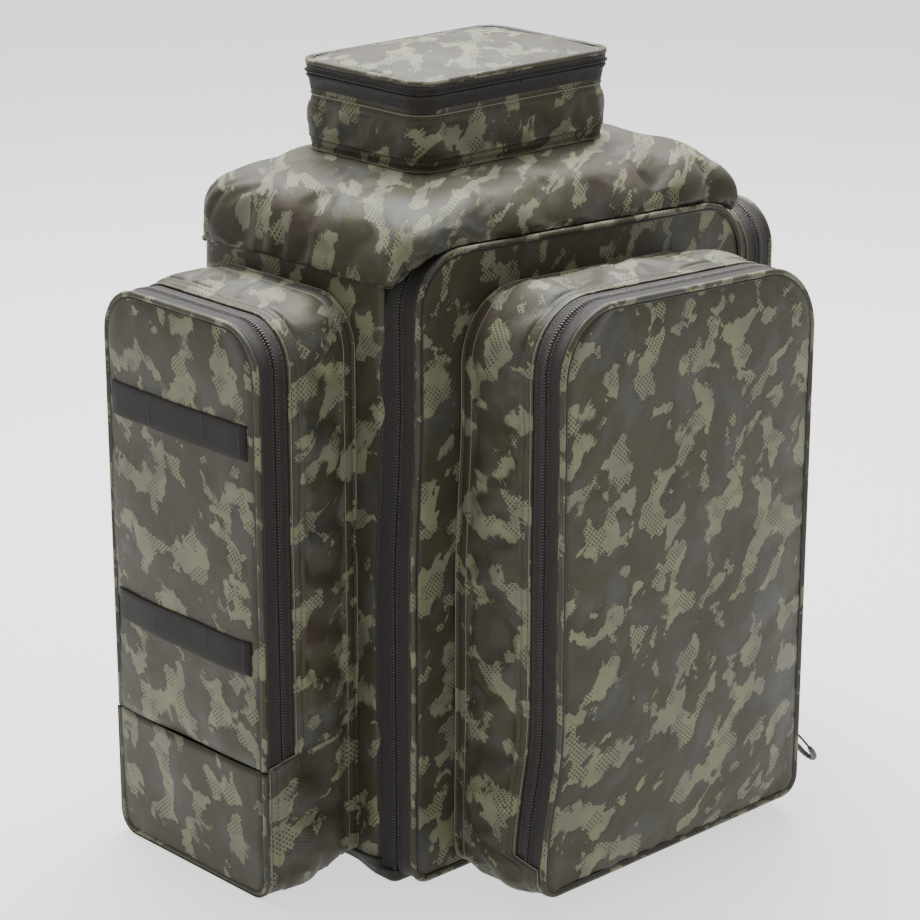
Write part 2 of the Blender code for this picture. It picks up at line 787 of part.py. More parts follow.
def make_hip_buckle(side, sign, looks):
    """The plug half on the left wing and the socket half on the right one, standing apart."""
    x, y, z = sign * 0.0335, HIP_GUIDES[-1][1], (HIP_LOW + HIP_HIGH) / 2
    if sign < 0:
        outline = [(-0.0005, -0.016), (0.012, -0.016), (0.013, -0.010), (0.026, -0.010), (0.030, -0.006)]
    else:
        outline = [(-0.0005, -0.016), (0.020, -0.016), (0.0255, -0.013)]
    outline = outline + [(u, -v) for u, v in outline[::-1]]
    outline = [(x - sign * (u + 0.001), z + v) for u, v in outline]
    kind = "plug" if sign < 0 else "socket"
    return prism(f"hip_buckle_{kind}", outline, "front", y - 0.006, y + 0.006, looks["plastic"])


# ---------------------------------------------------------------- assembly


def build():
    clear_scene()
    looks = make_materials()
    make_main_shell(looks)
    make_base(looks)
    make_yoke(looks)
    make_collar(looks)

    lid_pivot = pivot("lid_pivot", (0.0, COLLAR_BACK + LID_OVERHANG + 0.001, LID_SPLIT))
    hang_on(lid_pivot, *make_lid(looks))

    panel_pivot = pivot("panel_pivot", (0.0, PANEL_FACE + PANEL_HINGE_DEPTH, PANEL_BOTTOM))
    hang_on(panel_pivot, *make_front_panel(looks))

    wall, body_tape, flap, piping, flap_tape, pocket_split = make_front_pocket(looks)
    hang_on(panel_pivot, wall, body_tape)
    flap_hinge = (0.0, POCKET_FACE + FLAP_THICKNESS, POCKET_BOTTOM)
    flap_pivot = pivot("front_flap_pivot", flap_hinge, panel_pivot)
    hang_on(flap_pivot, flap, piping, flap_tape)

    # Each slider: name, place on its coil, outwards, travel, its pull's lean, and what carries it.
    hangs = Vector((0, 0, 0))
    main_place = (PANEL_HALF_WIDTH - TAPE_INSET + GAP, MAIN_ZIP_SPLIT, 0.090)
    pocket_place = (POCKET_HALF_WIDTH - TAPE_INSET + GAP, pocket_split, 0.080)
    lid_place = (COLLAR_HALF_WIDTH + LID_OVERHANG + GAP, 0.035, LID_SPLIT)
    right, up = (1, 0, 0), (0, 0, 1)
    sliders = [
        ("main", main_place, right, up, hangs, None),
        ("front_pocket", pocket_place, right, up, Vector((0.75, -0.10, 0)), panel_pivot),
        ("lid", lid_place, right, (0, -1, 0), hangs, None),
    ]
    for side, sign in (("left", -1), ("right", 1)):
        flap_parts, side_split = make_side_pocket(side, sign, looks)
        hinge = (sign * (0.0015 - SIDE_FACE), 0.0, SIDE_HINGE_Z - 0.001)
        hang_on(pivot(f"{side}_flap_pivot", hinge), *flap_parts)
        place = (side_split, SIDE_REAR - TAPE_INSET + GAP, 0.160)
        sliders.append((f"{side}_pocket", place, (0, 1, 0), up, hangs, None))
        make_strap(side, sign, looks)
        make_ladder_lock(side, sign, looks)
        hip_pivot = pivot(f"{side}_hip_pivot", (sign * HIP_PIVOT[0], HIP_PIVOT[1], (HIP_LOW + HIP_HIGH) / 2))
        hang_on(hip_pivot, make_hip_wing(side, sign, looks), make_hip_buckle(side, sign, looks))
    for name, place, out, along, lean, carrier in sliders:
        slider_pivot = pivot(f"{name}_slider_pivot", place, carrier)
        hang_on(slider_pivot, make_slider(f"{name}_zip_slider", place, out, along, looks))
        top = Vector(place) + Vector(out) * (SLIDER_HEIGHT + BRIDGE_REACH)
        down = Vector((0, 0, -1)) + lean
        across = Vector(out).cross(down)
        hang_on(
            pivot(f"{name}_pull_pivot", tuple(top), slider_pivot),
            make_pull(f"{name}_zip_pull", top, down, across, looks),
        )

    make_back_pad(looks)
    make_frame_sheet(looks)
    loop_pivot = pivot("haul_loop_pivot", (0.0, *LOOP_HINGE))
    hang_on(loop_pivot, make_haul_loop(looks))
    sternum_pivot = pivot("sternum_pivot", (0.0, STERNUM_Y, STERNUM_HEIGHT))
    hang_on(sternum_pivot, *make_sternum_strap(looks))


build()
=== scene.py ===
"""Looks of the tackle backpack: camouflage cloth, zips, piping, webbing and harness around the frame."""

import json
import math

import bmesh
import bpy
import numpy as np
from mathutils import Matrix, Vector

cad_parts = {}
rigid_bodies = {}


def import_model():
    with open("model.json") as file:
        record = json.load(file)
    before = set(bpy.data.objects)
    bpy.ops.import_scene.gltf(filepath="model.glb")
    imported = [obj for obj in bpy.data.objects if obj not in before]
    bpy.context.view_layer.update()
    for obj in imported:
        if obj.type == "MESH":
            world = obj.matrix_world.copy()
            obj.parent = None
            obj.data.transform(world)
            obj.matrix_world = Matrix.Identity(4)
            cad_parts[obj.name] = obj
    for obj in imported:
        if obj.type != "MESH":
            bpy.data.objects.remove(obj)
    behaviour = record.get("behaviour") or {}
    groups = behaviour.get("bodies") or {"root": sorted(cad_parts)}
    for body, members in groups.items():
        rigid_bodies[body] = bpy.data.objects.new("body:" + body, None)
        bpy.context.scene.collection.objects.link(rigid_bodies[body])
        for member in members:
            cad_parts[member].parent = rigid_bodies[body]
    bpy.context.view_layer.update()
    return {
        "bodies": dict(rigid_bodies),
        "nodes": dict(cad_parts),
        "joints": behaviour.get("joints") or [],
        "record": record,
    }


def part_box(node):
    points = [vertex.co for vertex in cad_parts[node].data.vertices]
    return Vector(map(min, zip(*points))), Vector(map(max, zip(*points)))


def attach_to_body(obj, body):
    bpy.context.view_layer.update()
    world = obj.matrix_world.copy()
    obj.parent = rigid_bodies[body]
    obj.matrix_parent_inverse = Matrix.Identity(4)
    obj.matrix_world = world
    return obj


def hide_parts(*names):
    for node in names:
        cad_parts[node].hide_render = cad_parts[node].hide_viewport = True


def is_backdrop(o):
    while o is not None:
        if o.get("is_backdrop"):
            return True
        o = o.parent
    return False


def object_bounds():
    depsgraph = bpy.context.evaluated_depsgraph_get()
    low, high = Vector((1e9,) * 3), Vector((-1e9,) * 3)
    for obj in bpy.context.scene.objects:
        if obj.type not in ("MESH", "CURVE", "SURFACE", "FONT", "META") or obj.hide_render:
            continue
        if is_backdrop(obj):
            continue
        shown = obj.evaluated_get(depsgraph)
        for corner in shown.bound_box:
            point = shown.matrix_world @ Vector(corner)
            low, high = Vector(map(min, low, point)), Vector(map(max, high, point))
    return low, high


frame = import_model()


# ---------------------------------------------------------------- sizes, in metres

SHELL_LOW, SHELL_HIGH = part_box("main_shell")
PANEL_LOW, PANEL_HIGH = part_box("front_panel_piping")
POCKET_LOW, POCKET_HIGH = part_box("front_pocket_piping")
YOKE_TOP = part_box("yoke_shell")[1].z
COLLAR_LOW, COLLAR_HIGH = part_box("collar_wall")
LID_LOW, LID_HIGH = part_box("lid_piping")
SIDE_LOW, SIDE_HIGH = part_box("right_pocket_piping")
TOE_LOW, TOE_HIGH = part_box("right_pocket_toe")
BASE_LOW, BASE_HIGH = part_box("base_panel")
PAD_LOW, PAD_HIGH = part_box("back_pad")

PIPING_RADIUS = 0.003
LOW_CORNER = 0.020
PANEL_CORNER = 0.055
POCKET_CORNER = 0.065
SIDE_CORNER = 0.045
COLLAR_CORNER = 0.024
BODY_CORNER = 0.030
BACK_SEAM_DEPTH = 0.005  # a side pocket's seam follows the body's rounded back corner inwards
FABRIC = 0.0016
TOOTH_PITCH = 0.0029
STITCH = 0.0034
STITCH_GAP = 0.0013
POCKET_TAPER = 0.010
COLLAR_TUCK = 0.004
DART_PLACE = -0.146
DART_HEIGHT = 0.050
GROUND_CLEARANCE = 0.002

PANEL_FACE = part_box("front_panel")[0].y
POCKET_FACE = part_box("front_pocket_flap")[0].y
POCKET_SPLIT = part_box("front_pocket_zip_body_tape")[0].y
POCKET_ZIP_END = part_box("front_pocket_zip_body_tape")[1].y
POCKET_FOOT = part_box("front_pocket_zip_body_tape")[0].z
MAIN_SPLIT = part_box("main_zip_body_tape")[0].y
SIDE_FACE = TOE_HIGH.x
SIDE_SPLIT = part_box("right_pocket_zip_body_tape")[1].x
SIDE_ZIP_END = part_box("right_pocket_zip_body_tape")[0].x
SIDE_HINGE = TOE_HIGH.z + 0.001
LID_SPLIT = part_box("lid_zip_tape")[0].z

EDGE = 2 * PIPING_RADIUS - 0.001  # from a face's outline to its cloth, inside the piping
TAPE_INSET = 0.0015
HALF_GAP = 0.0001
SEWN_UNDER = 0.004  # how far the tapes' ends reach below the lip that covers them

panel_rect = (PANEL_LOW.x, PANEL_HIGH.x, PANEL_LOW.z, PANEL_HIGH.z)
pocket_rect = (POCKET_LOW.x, POCKET_HIGH.x, POCKET_LOW.z, POCKET_HIGH.z)
lid_rect = (LID_LOW.x, LID_HIGH.x, LID_LOW.y, LID_HIGH.y)


# ---------------------------------------------------------------- small helpers


def shrunk(rect, inset):
    u0, u1, v0, v1 = rect
    return u0 + inset, u1 - inset, v0 + inset, v1 - inset


def smooth(x):
    x = np.clip(x, 0.0, 1.0)
    return x * x * (3 - 2 * x)


def seed_of(name):
    return sum((k + 1) * ord(c) for k, c in enumerate(name))


def ripple(points, wavelength, seed, waves=7):
    """A soft random swell through space, about -1 to 1, from plane waves."""
    rng = np.random.default_rng(seed)
    total = np.zeros(points.shape[:-1])
    for _ in range(waves):
        direction = rng.normal(size=3)
        direction *= 2 * math.pi / (np.linalg.norm(direction) * wavelength * rng.uniform(0.7, 1.5))
        total += np.sin(points @ direction + rng.uniform(0, 2 * math.pi))
    return total / math.sqrt(waves)


def creases(points, direction, wavelength, seed):
    """Sharp-bottomed folds square to a direction, wandering a little: 0 on their tops, -1 in the folds."""
    rng = np.random.default_rng(seed)
    direction = np.array(direction, float)
    direction /= np.linalg.norm(direction)
    wander = 0.35 * ripple(points, wavelength * 2.5, seed + 1)
    phase = points @ direction / wavelength + wander + rng.uniform()
    fold = 1 - np.abs(np.sin(math.pi * phase)) ** 0.6
    strength = np.clip(0.5 + 0.8 * ripple(points, wavelength * 3, seed + 2), 0, 1)
    return -fold * strength


def unit(vectors):
    return vectors / np.maximum(np.linalg.norm(vectors, axis=-1, keepdims=True), 1e-12)


def spread(*values):
    """Values of any matching shapes as the coordinates of points."""
    return np.stack(np.broadcast_arrays(*values), -1)


def lengths(path, closed=False):
    """Distance along a path at each of its points, and back at its start if it is closed."""
    if closed:
        path = np.concatenate([path, path[:1]])
    steps = np.linalg.norm(np.diff(path, axis=0), axis=-1)
    return np.concatenate([[0.0], np.cumsum(steps)])


def catmull(guides, count):
    """A smooth curve through guide points of any shape, as count of them."""
    guides = np.asarray(guides, float)
    ends = np.concatenate([[2 * guides[0] - guides[1]], guides, [2 * guides[-1] - guides[-2]]])
    at = np.linspace(0, len(guides) - 1, count)
    i = np.minimum(at.astype(int), len(guides) - 2)
    t = (at - i).reshape((-1,) + (1,) * (guides.ndim - 1))
    a, b, c, d = (ends[i + k] for k in range(4))
    return 0.5 * (2 * b + (c - a) * t + (2 * a - 5 * b + 4 * c - d) * t**2 + (3 * b - 3 * c + d - a) * t**3)


def loop_outline(rect, low_corner, high_corner, across, up, turn):
    """A rounded rectangle from the middle of its low side, anticlockwise. across, up and turn are steps."""
    u0, u1, v0, v1 = rect
    middle = (u0 + u1) / 2
    points = [np.linspace((middle, v0), (u1 - low_corner, v0), across // 2, endpoint=False)]

    def corner(cu, cv, radius, start):
        angle = np.radians(np.linspace(start, start + 90, turn, endpoint=False))
        points.append(np.stack([cu + radius * np.cos(angle), cv + radius * np.sin(angle)], 1))

    corner(u1 - low_corner, v0 + low_corner, low_corner, -90)
    points.append(np.linspace((u1, v0 + low_corner), (u1, v1 - high_corner), up, endpoint=False))
    corner(u1 - high_corner, v1 - high_corner, high_corner, 0)
    points.append(np.linspace((u1 - high_corner, v1), (u0 + high_corner, v1), across, endpoint=False))
    corner(u0 + high_corner, v1 - high_corner, high_corner, 90)
    points.append(np.linspace((u0, v1 - high_corner), (u0, v0 + low_corner), up, endpoint=False))
    corner(u0 + low_corner, v0 + low_corner, low_corner, 180)
    points.append(np.linspace((u0 + low_corner, v0), (middle, v0), across // 2, endpoint=False))
    return np.concatenate(points)


def arch_outline(rect, corner, step):
    """Up one side, over the top and down the other, with rounded top corners, as evenly spaced points."""
    u0, u1, v0, v1 = rect
    angle = np.radians(np.linspace(0, 90, 24))
    right = np.stack([u1 - corner + corner * np.cos(angle), v1 - corner + corner * np.sin(angle)], 1)
    left = np.stack([u0 + corner - corner * np.cos(angle), v1 - corner + corner * np.sin(angle)], 1)
    rough = np.concatenate([[(u1, v0)], right, left[::-1], [(u0, v0)]])
    return resample(rough, step)


def resample(path, step, closed=False):
    if closed:
        path = np.concatenate([path, path[:1]])
    total = lengths(path)
    count = max(int(round(total[-1] / step)), 2)
    at = np.linspace(0, total[-1], count + 1)
    if closed:
        at = at[:-1]
    return np.stack([np.interp(at, total, path[:, k]) for k in range(path.shape[1])], 1)


def outward_2d(outline, closed):
    """Unit normals of an outline that runs anticlockwise, pointing out of it."""
    if closed:
        along = np.roll(outline, -1, 0) - np.roll(outline, 1, 0)
    else:
        along = np.gradient(outline, axis=0)
    return unit(np.stack([along[:, 1], -along[:, 0]], 1))


# ---------------------------------------------------------------- places: how flat outlines stand in space

LEAN = 0.009
SLUMP = 0.004


def lean(x, z, depth):
    """The front panel hangs a little higher on its left side than on its right, unlike the walls."""
    share = smooth((SHELL_LOW.y - depth) / (SHELL_LOW.y - MAIN_SPLIT))
    return -LEAN * np.clip(x / PANEL_HIGH.x, -1.1, 1.1) * smooth(z / PANEL_HIGH.z) * share


def sway(x, y, z):
    """Sideways shift of the front: its lower left bellies out and the pocket's left edge stands in."""
    left = smooth((0.06 - x) / 0.20)
    panel = -0.008 * (1 - smooth((z - 0.28) / 0.17))
    pocket = 0.006 - 0.018 * (1 - smooth((z - 0.05) / 0.13))
    share = smooth((PANEL_FACE + 0.02 - y) / (PANEL_FACE + 0.02 - POCKET_FACE))
    return left * (panel * (1 - share) + pocket * share) * smooth((-0.080 - y) / 0.044)


def front(u, v, w):
    """A point of the front panel or its pocket: u across, v up, w the depth."""
    return spread(u + sway(u, w, v), w, v + lean(u, v, w))


def swayed(points):
    """Points of the body, moved sideways with the front's lower left."""
    points[..., 0] += sway(points[..., 0], points[..., 1], points[..., 2])
    return points


def side(sign):
    """Places for a side pocket: u from front to back, v up, w the distance out from the middle."""
    return lambda u, v, w: spread(sign * w, u, v)


# ---------------------------------------------------------------- fabric grids


class Fabric:
    """Cloth as a grid of points. Rows may close round a loop; columns run from edge to edge."""

    def __init__(self, name, points, prints, inside, closed=False):
        self.name = name
        self.points = np.array(points, float)
        self.prints = np.array(prints, float)
        self.closed = closed
        self.flip = False
        outwards = self.points - np.asarray(inside, float)
        self.flip = bool((self.normals() * outwards).sum() < 0)
        steps = np.linalg.norm(np.diff(self.points, axis=1), axis=-1)
        start = np.zeros((len(self.points), 1))
        self.across = np.concatenate([start, np.cumsum(steps, axis=1)], 1)
        self.along = lengths(self.points[:, self.points.shape[1] // 2])

    def normals(self):
        if self.closed:
            rows = np.roll(self.points, -1, 0) - np.roll(self.points, 1, 0)
        else:
            rows = np.gradient(self.points, axis=0)
        normal = unit(np.cross(rows, np.gradient(self.points, axis=1)))
        return -normal if self.flip else normal

    def push(self, amount):
        """Moves every point along its own normal."""
        self.points += self.normals() * np.asarray(amount)[..., None]

    def from_edge(self, far=False):
        """Each point's distance from the first column, or from the last."""
        return self.across[:, -1:] - self.across if far else self.across

    def groove(self, inset, far=False, depth=0.0007, width=0.0013, pucker=0.009):
        """Sinks a sewn line into the cloth, with small puckers along it."""
        wave = 1 + 0.45 * np.sin(2 * math.pi * self.along / pucker + 0.8 * np.sin(self.along / 0.03))
        line = np.exp(-(((self.from_edge(far) - inset) / width) ** 2))
        self.push(-depth * wave[:, None] * line)

    def fold(self, inset, far=False, height=0.0011, width=0.0011):
        """Raises a narrow folded edge."""
        self.push(height * np.exp(-(((self.from_edge(far) - inset) / width) ** 2)))

    def line(self, inset, far=False, lift=0.0):
        """Points and normals at a distance from the first column, or from the last."""
        normal = self.normals()
        rows, cols = self.points.shape[:2]
        target = self.across[:, -1] - inset if far else np.full(rows, inset)
        at = np.array([np.interp(t, a, np.arange(cols)) for t, a in zip(target, self.across)])
        i = np.minimum(at.astype(int), cols - 2)
        share = (at - i)[:, None]
        row = np.arange(rows)
        point = self.points[row, i] * (1 - share) + self.points[row, i + 1] * share
        out = unit(normal[row, i] * (1 - share) + normal[row, i + 1] * share)
        return point + out * lift, out

    def course(self, at, lift=0.0):
        """Points and normals along a row, which may be a fraction of a row."""
        i = min(int(at), len(self.points) - 2)
        share = at - i
        normal = self.normals()
        point = self.points[i] * (1 - share) + self.points[i + 1] * share
        out = unit(normal[i] * (1 - share) + normal[i + 1] * share)
        return point + out * lift, out


def grid_mesh(name, points, prints, closed_rows=False, closed_columns=False, flip=False):
    rows, cols = points.shape[:2]
    mesh = bpy.data.meshes.new(name)
    faces, corners = [], []
    for i in range(rows if closed_rows else rows - 1):
        for j in range(cols if closed_columns else cols - 1):
            square = [(i, j), (i + 1, j), (i + 1, j + 1), (i, j + 1)]
            if flip:
                square.reverse()
            faces.append([(a % rows) * cols + b % cols for a, b in square])
            corners.extend(square)
    mesh.from_pydata([tuple(p) for p in points.reshape(-1, 3)], [], faces)
    layer = mesh.uv_layers.new(name="print")
    layer.data.foreach_set("uv", np.array([prints[a, b] for a, b in corners], np.float32).ravel())
    mesh.shade_smooth()
    return mesh


def add_object(name, mesh, *looks):
    for look in looks:
        mesh.materials.append(look)
    obj = bpy.data.objects.new(name, mesh)
    bpy.context.scene.collection.objects.link(obj)
    return obj


def attach(obj, body, slot, *replaced):
    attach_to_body(obj, body)
    if replaced:
        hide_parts(*replaced)
    return obj


def piece(mesh, look, body, slot, *replaced):
    """Makes a mesh of one look into a piece of its own name."""
    return attach(add_object(mesh.name, mesh, LOOKS[look]), body, slot, *replaced)


def sew(fabric, body, look, slot, *replaced, lining="lining", thick=FABRIC):
    """Makes a fabric grid into a piece with a lining inside it."""
    mesh = grid_mesh(fabric.name, fabric.points, fabric.prints, fabric.closed, False, fabric.flip)
    obj = add_object(fabric.name, mesh, LOOKS[look], LOOKS[lining])
    solid = obj.modifiers.new("thickness", "SOLIDIFY")
    solid.thickness = thick
    solid.offset = -1
    solid.material_offset = 1
    return attach(obj, body, slot, *replaced)


# ---------------------------------------------------------------- cloth simulation

SIM_FRAMES = 24
waiting = []


def will_settle(fabric, grow=0.02, pressure=1.0, stiff=8.0, bend=0.4, cap=0.010, held=1):
    """Lists a fabric for the simulation. Its first and last held columns stay sewn where they are."""
    waiting.append((fabric, grow, pressure, stiff, bend, cap, held))
    return fabric


def settle():
    """Lets the listed fabrics puff and crumple between their seams, all in one run of Blender's cloth."""
    scene = bpy.context.scene
    trials = []
    for fabric, grow, pressure, stiff, bend, cap, held in waiting:
        mesh = grid_mesh("trial", fabric.points, fabric.prints, fabric.closed, False, fabric.flip)
        obj = add_object("trial", mesh)
        rows, cols = fabric.points.shape[:2]
        pinned = np.zeros((rows, cols), bool)
        pinned[:, :held] = pinned[:, -held:] = True
        if not fabric.closed:
            pinned[:held] = pinned[-held:] = True
        group = obj.vertex_groups.new(name="sewn")
        group.add([int(i) for i in np.flatnonzero(pinned.ravel())], 1.0, "REPLACE")
        cloth = obj.modifiers.new("cloth", "CLOTH")
        settings = cloth.settings
        settings.vertex_group_mass = "sewn"
        settings.effector_weights.gravity = 0
        settings.mass = 0.2
        settings.quality = 6
        settings.air_damping = 2.0
        settings.tension_stiffness = settings.compression_stiffness = stiff
        settings.shear_stiffness = stiff * 0.5
        settings.bending_stiffness = bend
        settings.shrink_min = -grow
        settings.use_pressure = True
        settings.uniform_pressure_force = pressure
        cloth.collision_settings.use_collision = False
        cloth.point_cache.frame_start = 1
        cloth.point_cache.frame_end = SIM_FRAMES
        trials.append(obj)
    for step in range(1, SIM_FRAMES + 1):
        scene.frame_set(step)
    graph = bpy.context.evaluated_depsgraph_get()
    for (fabric, *_, cap, _), obj in zip(waiting, trials):
        moved = np.empty(len(obj.data.vertices) * 3, np.float32)
        obj.evaluated_get(graph).data.vertices.foreach_get("co", moved)
        change = moved.reshape(fabric.points.shape).astype(float) - fabric.points
        size = np.linalg.norm(change, axis=-1, keepdims=True)
        change *= cap * np.tanh(size / cap) / np.maximum(size, 1e-9)
        fabric.points += change
    for obj in trials:
        bpy.data.objects.remove(obj)
    scene.frame_set(1)


# ---------------------------------------------------------------- sweeps, tubes and strips


def sweep_mesh(name, path, out, section, closed=False, offset=(0.0, 0.0), twist=1):
    """A section, (rows or 1, n, 2) across and outwards, carried along a path. Open ends are capped."""
    path = np.asarray(path, float)
    out = np.broadcast_to(np.asarray(out, float), path.shape)
    if closed:
        along = unit(np.roll(path, -1, 0) - np.roll(path, 1, 0))
    else:
        along = unit(np.gradient(path, axis=0))
    across = unit(np.cross(along, out)) * twist
    out = unit(np.cross(across, along)) * twist
    section = np.broadcast_to(section, (len(path),) + np.shape(section)[-2:])
    points = path[:, None] + across[:, None] * section[..., :1] + out[:, None] * section[..., 1:]
    rows, cols = points.shape[:2]
    run = lengths(path, closed)
    if not closed:
        run = np.append(run, run[-1])
    girth = lengths(section[len(section) // 2], True)
    prints = np.stack(np.meshgrid(run, girth, indexing="ij"), -1) + np.array(offset)
    mesh = grid_mesh(name, points, prints, closed, True)
    if not closed:
        cap_ends(mesh, rows, cols)
    return mesh


def swept(name, path, out, section, look, body, slot, *replaced, **shape):
    return piece(sweep_mesh(name, path, out, section, **shape), look, body, slot, *replaced)


def cap_ends(mesh, rows, cols):
    shape = bmesh.new()
    shape.from_mesh(mesh)
    shape.verts.ensure_lookup_table()
    for start in (0, (rows - 1) * cols):
        shape.faces.new([shape.verts[start + k] for k in range(cols)])
    bmesh.ops.recalc_face_normals(shape, faces=shape.faces[:])
    shape.to_mesh(mesh)
    shape.free()
    mesh.shade_smooth()


def ring_section(radius, sides=12):
    angle = np.linspace(0, 2 * math.pi, sides, endpoint=False)
    return radius * np.stack([np.cos(angle), np.sin(angle)], 1)


def strip_section(width, thick, edge=None, columns=7):
    """A flat strip lying on its path, with softened edges."""
    edge = thick * 0.6 if edge is None else edge
    half = width / 2
    inner = np.linspace(-half + edge, half - edge, columns)
    top = [(a, thick) for a in inner[::-1]]
    rounded = [(half, thick * 0.55), (half, 0.0)]
    other = [(-half, 0.0), (-half, thick * 0.55)]
    return np.array(rounded[::-1] + top + other[::-1])


def strip(name, path, out, width, thick, body, *replaced):
    """Flat webbing along a path."""
    return swept(name, path, out, strip_section(width, thick), "webbing", body, "webbing", *replaced)


class Many:
    """Many small closed shapes gathered into one piece, such as stitches or zip teeth."""

    def __init__(self):
        self.points, self.faces, self.count = [], [], 0

    def add(self, points, faces):
        """points is (how many, n, 3); faces are index tuples of one shape."""
        shapes, size = points.shape[:2]
        base = self.count + np.arange(shapes) * size
        for face in faces:
            self.faces.append(base[:, None] + np.array(face))
        self.points.append(points.reshape(-1, 3))
        self.count += shapes * size

    def piece(self, name, body, look, slot, *replaced):
        mesh = bpy.data.meshes.new(name)
        faces = [tuple(f) for group in self.faces for f in group.tolist()]
        mesh.from_pydata(np.concatenate(self.points).tolist(), [], faces)
        mesh.shade_smooth()
        return piece(mesh, look, body, slot, *replaced)


BACKWARDS = (0, 1.0, 0)
UPWARDS = (0, 0, 1.0)
GRAIN_FACES = [(0, 2, 4), (0, 4, 3), (0, 3, 5), (0, 5, 2), (1, 4, 2), (1, 3, 4), (1, 5, 3), (1, 2, 5)]
BOX_FACES = [(0, 1, 2, 3), (7, 6, 5, 4), (0, 4, 5, 1), (1, 5, 6, 2), (2, 6, 7, 3), (3, 7, 4, 0)]


def even_places(path, out, pitch, closed):
    """Evenly spaced points along a path, each with its direction and its outward normal."""
    both = np.concatenate([path, np.broadcast_to(out, path.shape)], 1)
    if closed:
        both = np.concatenate([both, both[:1]])
    total = lengths(both[:, :3])
    count = int(total[-1] / pitch)
    at = (np.arange(count) + 0.5) * total[-1] / max(count, 1)
    there = np.stack([np.interp(at, total, both[:, k]) for k in range(6)], 1)
    ahead = np.stack([np.interp(at + 0.0005, total, both[:, k]) for k in range(3)], 1)
    behind = np.stack([np.interp(at - 0.0005, total, both[:, k]) for k in range(3)], 1)
    return there[:, :3], unit(ahead - behind), unit(there[:, 3:])


def stitch(many, line, closed=False, length=STITCH, gap=STITCH_GAP, wide=0.0008, high=0.0005):
    """Sews a line of stitches: each a short grain of thread with pointed ends in the cloth."""
    path, out = line
    centre, along, up = even_places(path, out, length + gap, closed)
    sideways = np.cross(along, up)
    reaches = (along * length / 2, sideways * wide / 2, up * high)
    tips = [centre + a for reach in reaches for a in (reach, -reach)]
    many.add(np.stack([tips[1], tips[0], *tips[2:]], 1), GRAIN_FACES)


def bar_tack(many, middle, out, across, half, count, **thread):
    """A dense row of stitches across a strap."""
    bar = middle + np.asarray(across) * np.linspace(-half, half, count)[:, None]
    stitch(many, (bar, out), **thread)


def teeth(many, path, out, towards, long=0.0018, reach=0.0030, high=0.0009, closed=False, phase=0.0):
    """A row of coil turns beside a zip's split. towards points from the split to the tape."""
    both = np.concatenate([path, out, towards], 1)
    if closed:
        both = np.concatenate([both, both[:1]])
    total = lengths(both[:, :3])
    count = int(total[-1] / TOOTH_PITCH)
    at = (np.arange(count) + 0.5 + phase / 2) * total[-1] / count
    there = np.stack([np.interp(at, total, both[:, k]) for k in range(9)], 1)
    ahead = np.stack([np.interp(at + 0.0005, total, both[:, k]) for k in range(3)], 1)
    centre, up, away = there[:, :3], unit(there[:, 3:6]), unit(there[:, 6:])
    along = unit(ahead - centre)
    corners = [(-1, 0), (1, 0), (1, 1), (-1, 1)]
    low = [centre + along * a * long / 2 + away * b * reach - up * 0.0002 for a, b in corners]
    wide = long * 0.36
    top = [centre + along * a * wide + away * (b * 0.7 + 0.12) * reach + up * high for a, b in corners]
    many.add(np.stack(low + top, 1), BOX_FACES)


# ---------------------------------------------------------------- materials


def srgb(r, g, b):
    """An 8-bit sRGB colour as a linear RGBA one."""

    def linear(c):
        c /= 255
        return c / 12.92 if c <= 0.04045 else ((c + 0.055) / 1.055) ** 2.4

    return (linear(r), linear(g), linear(b), 1.0)


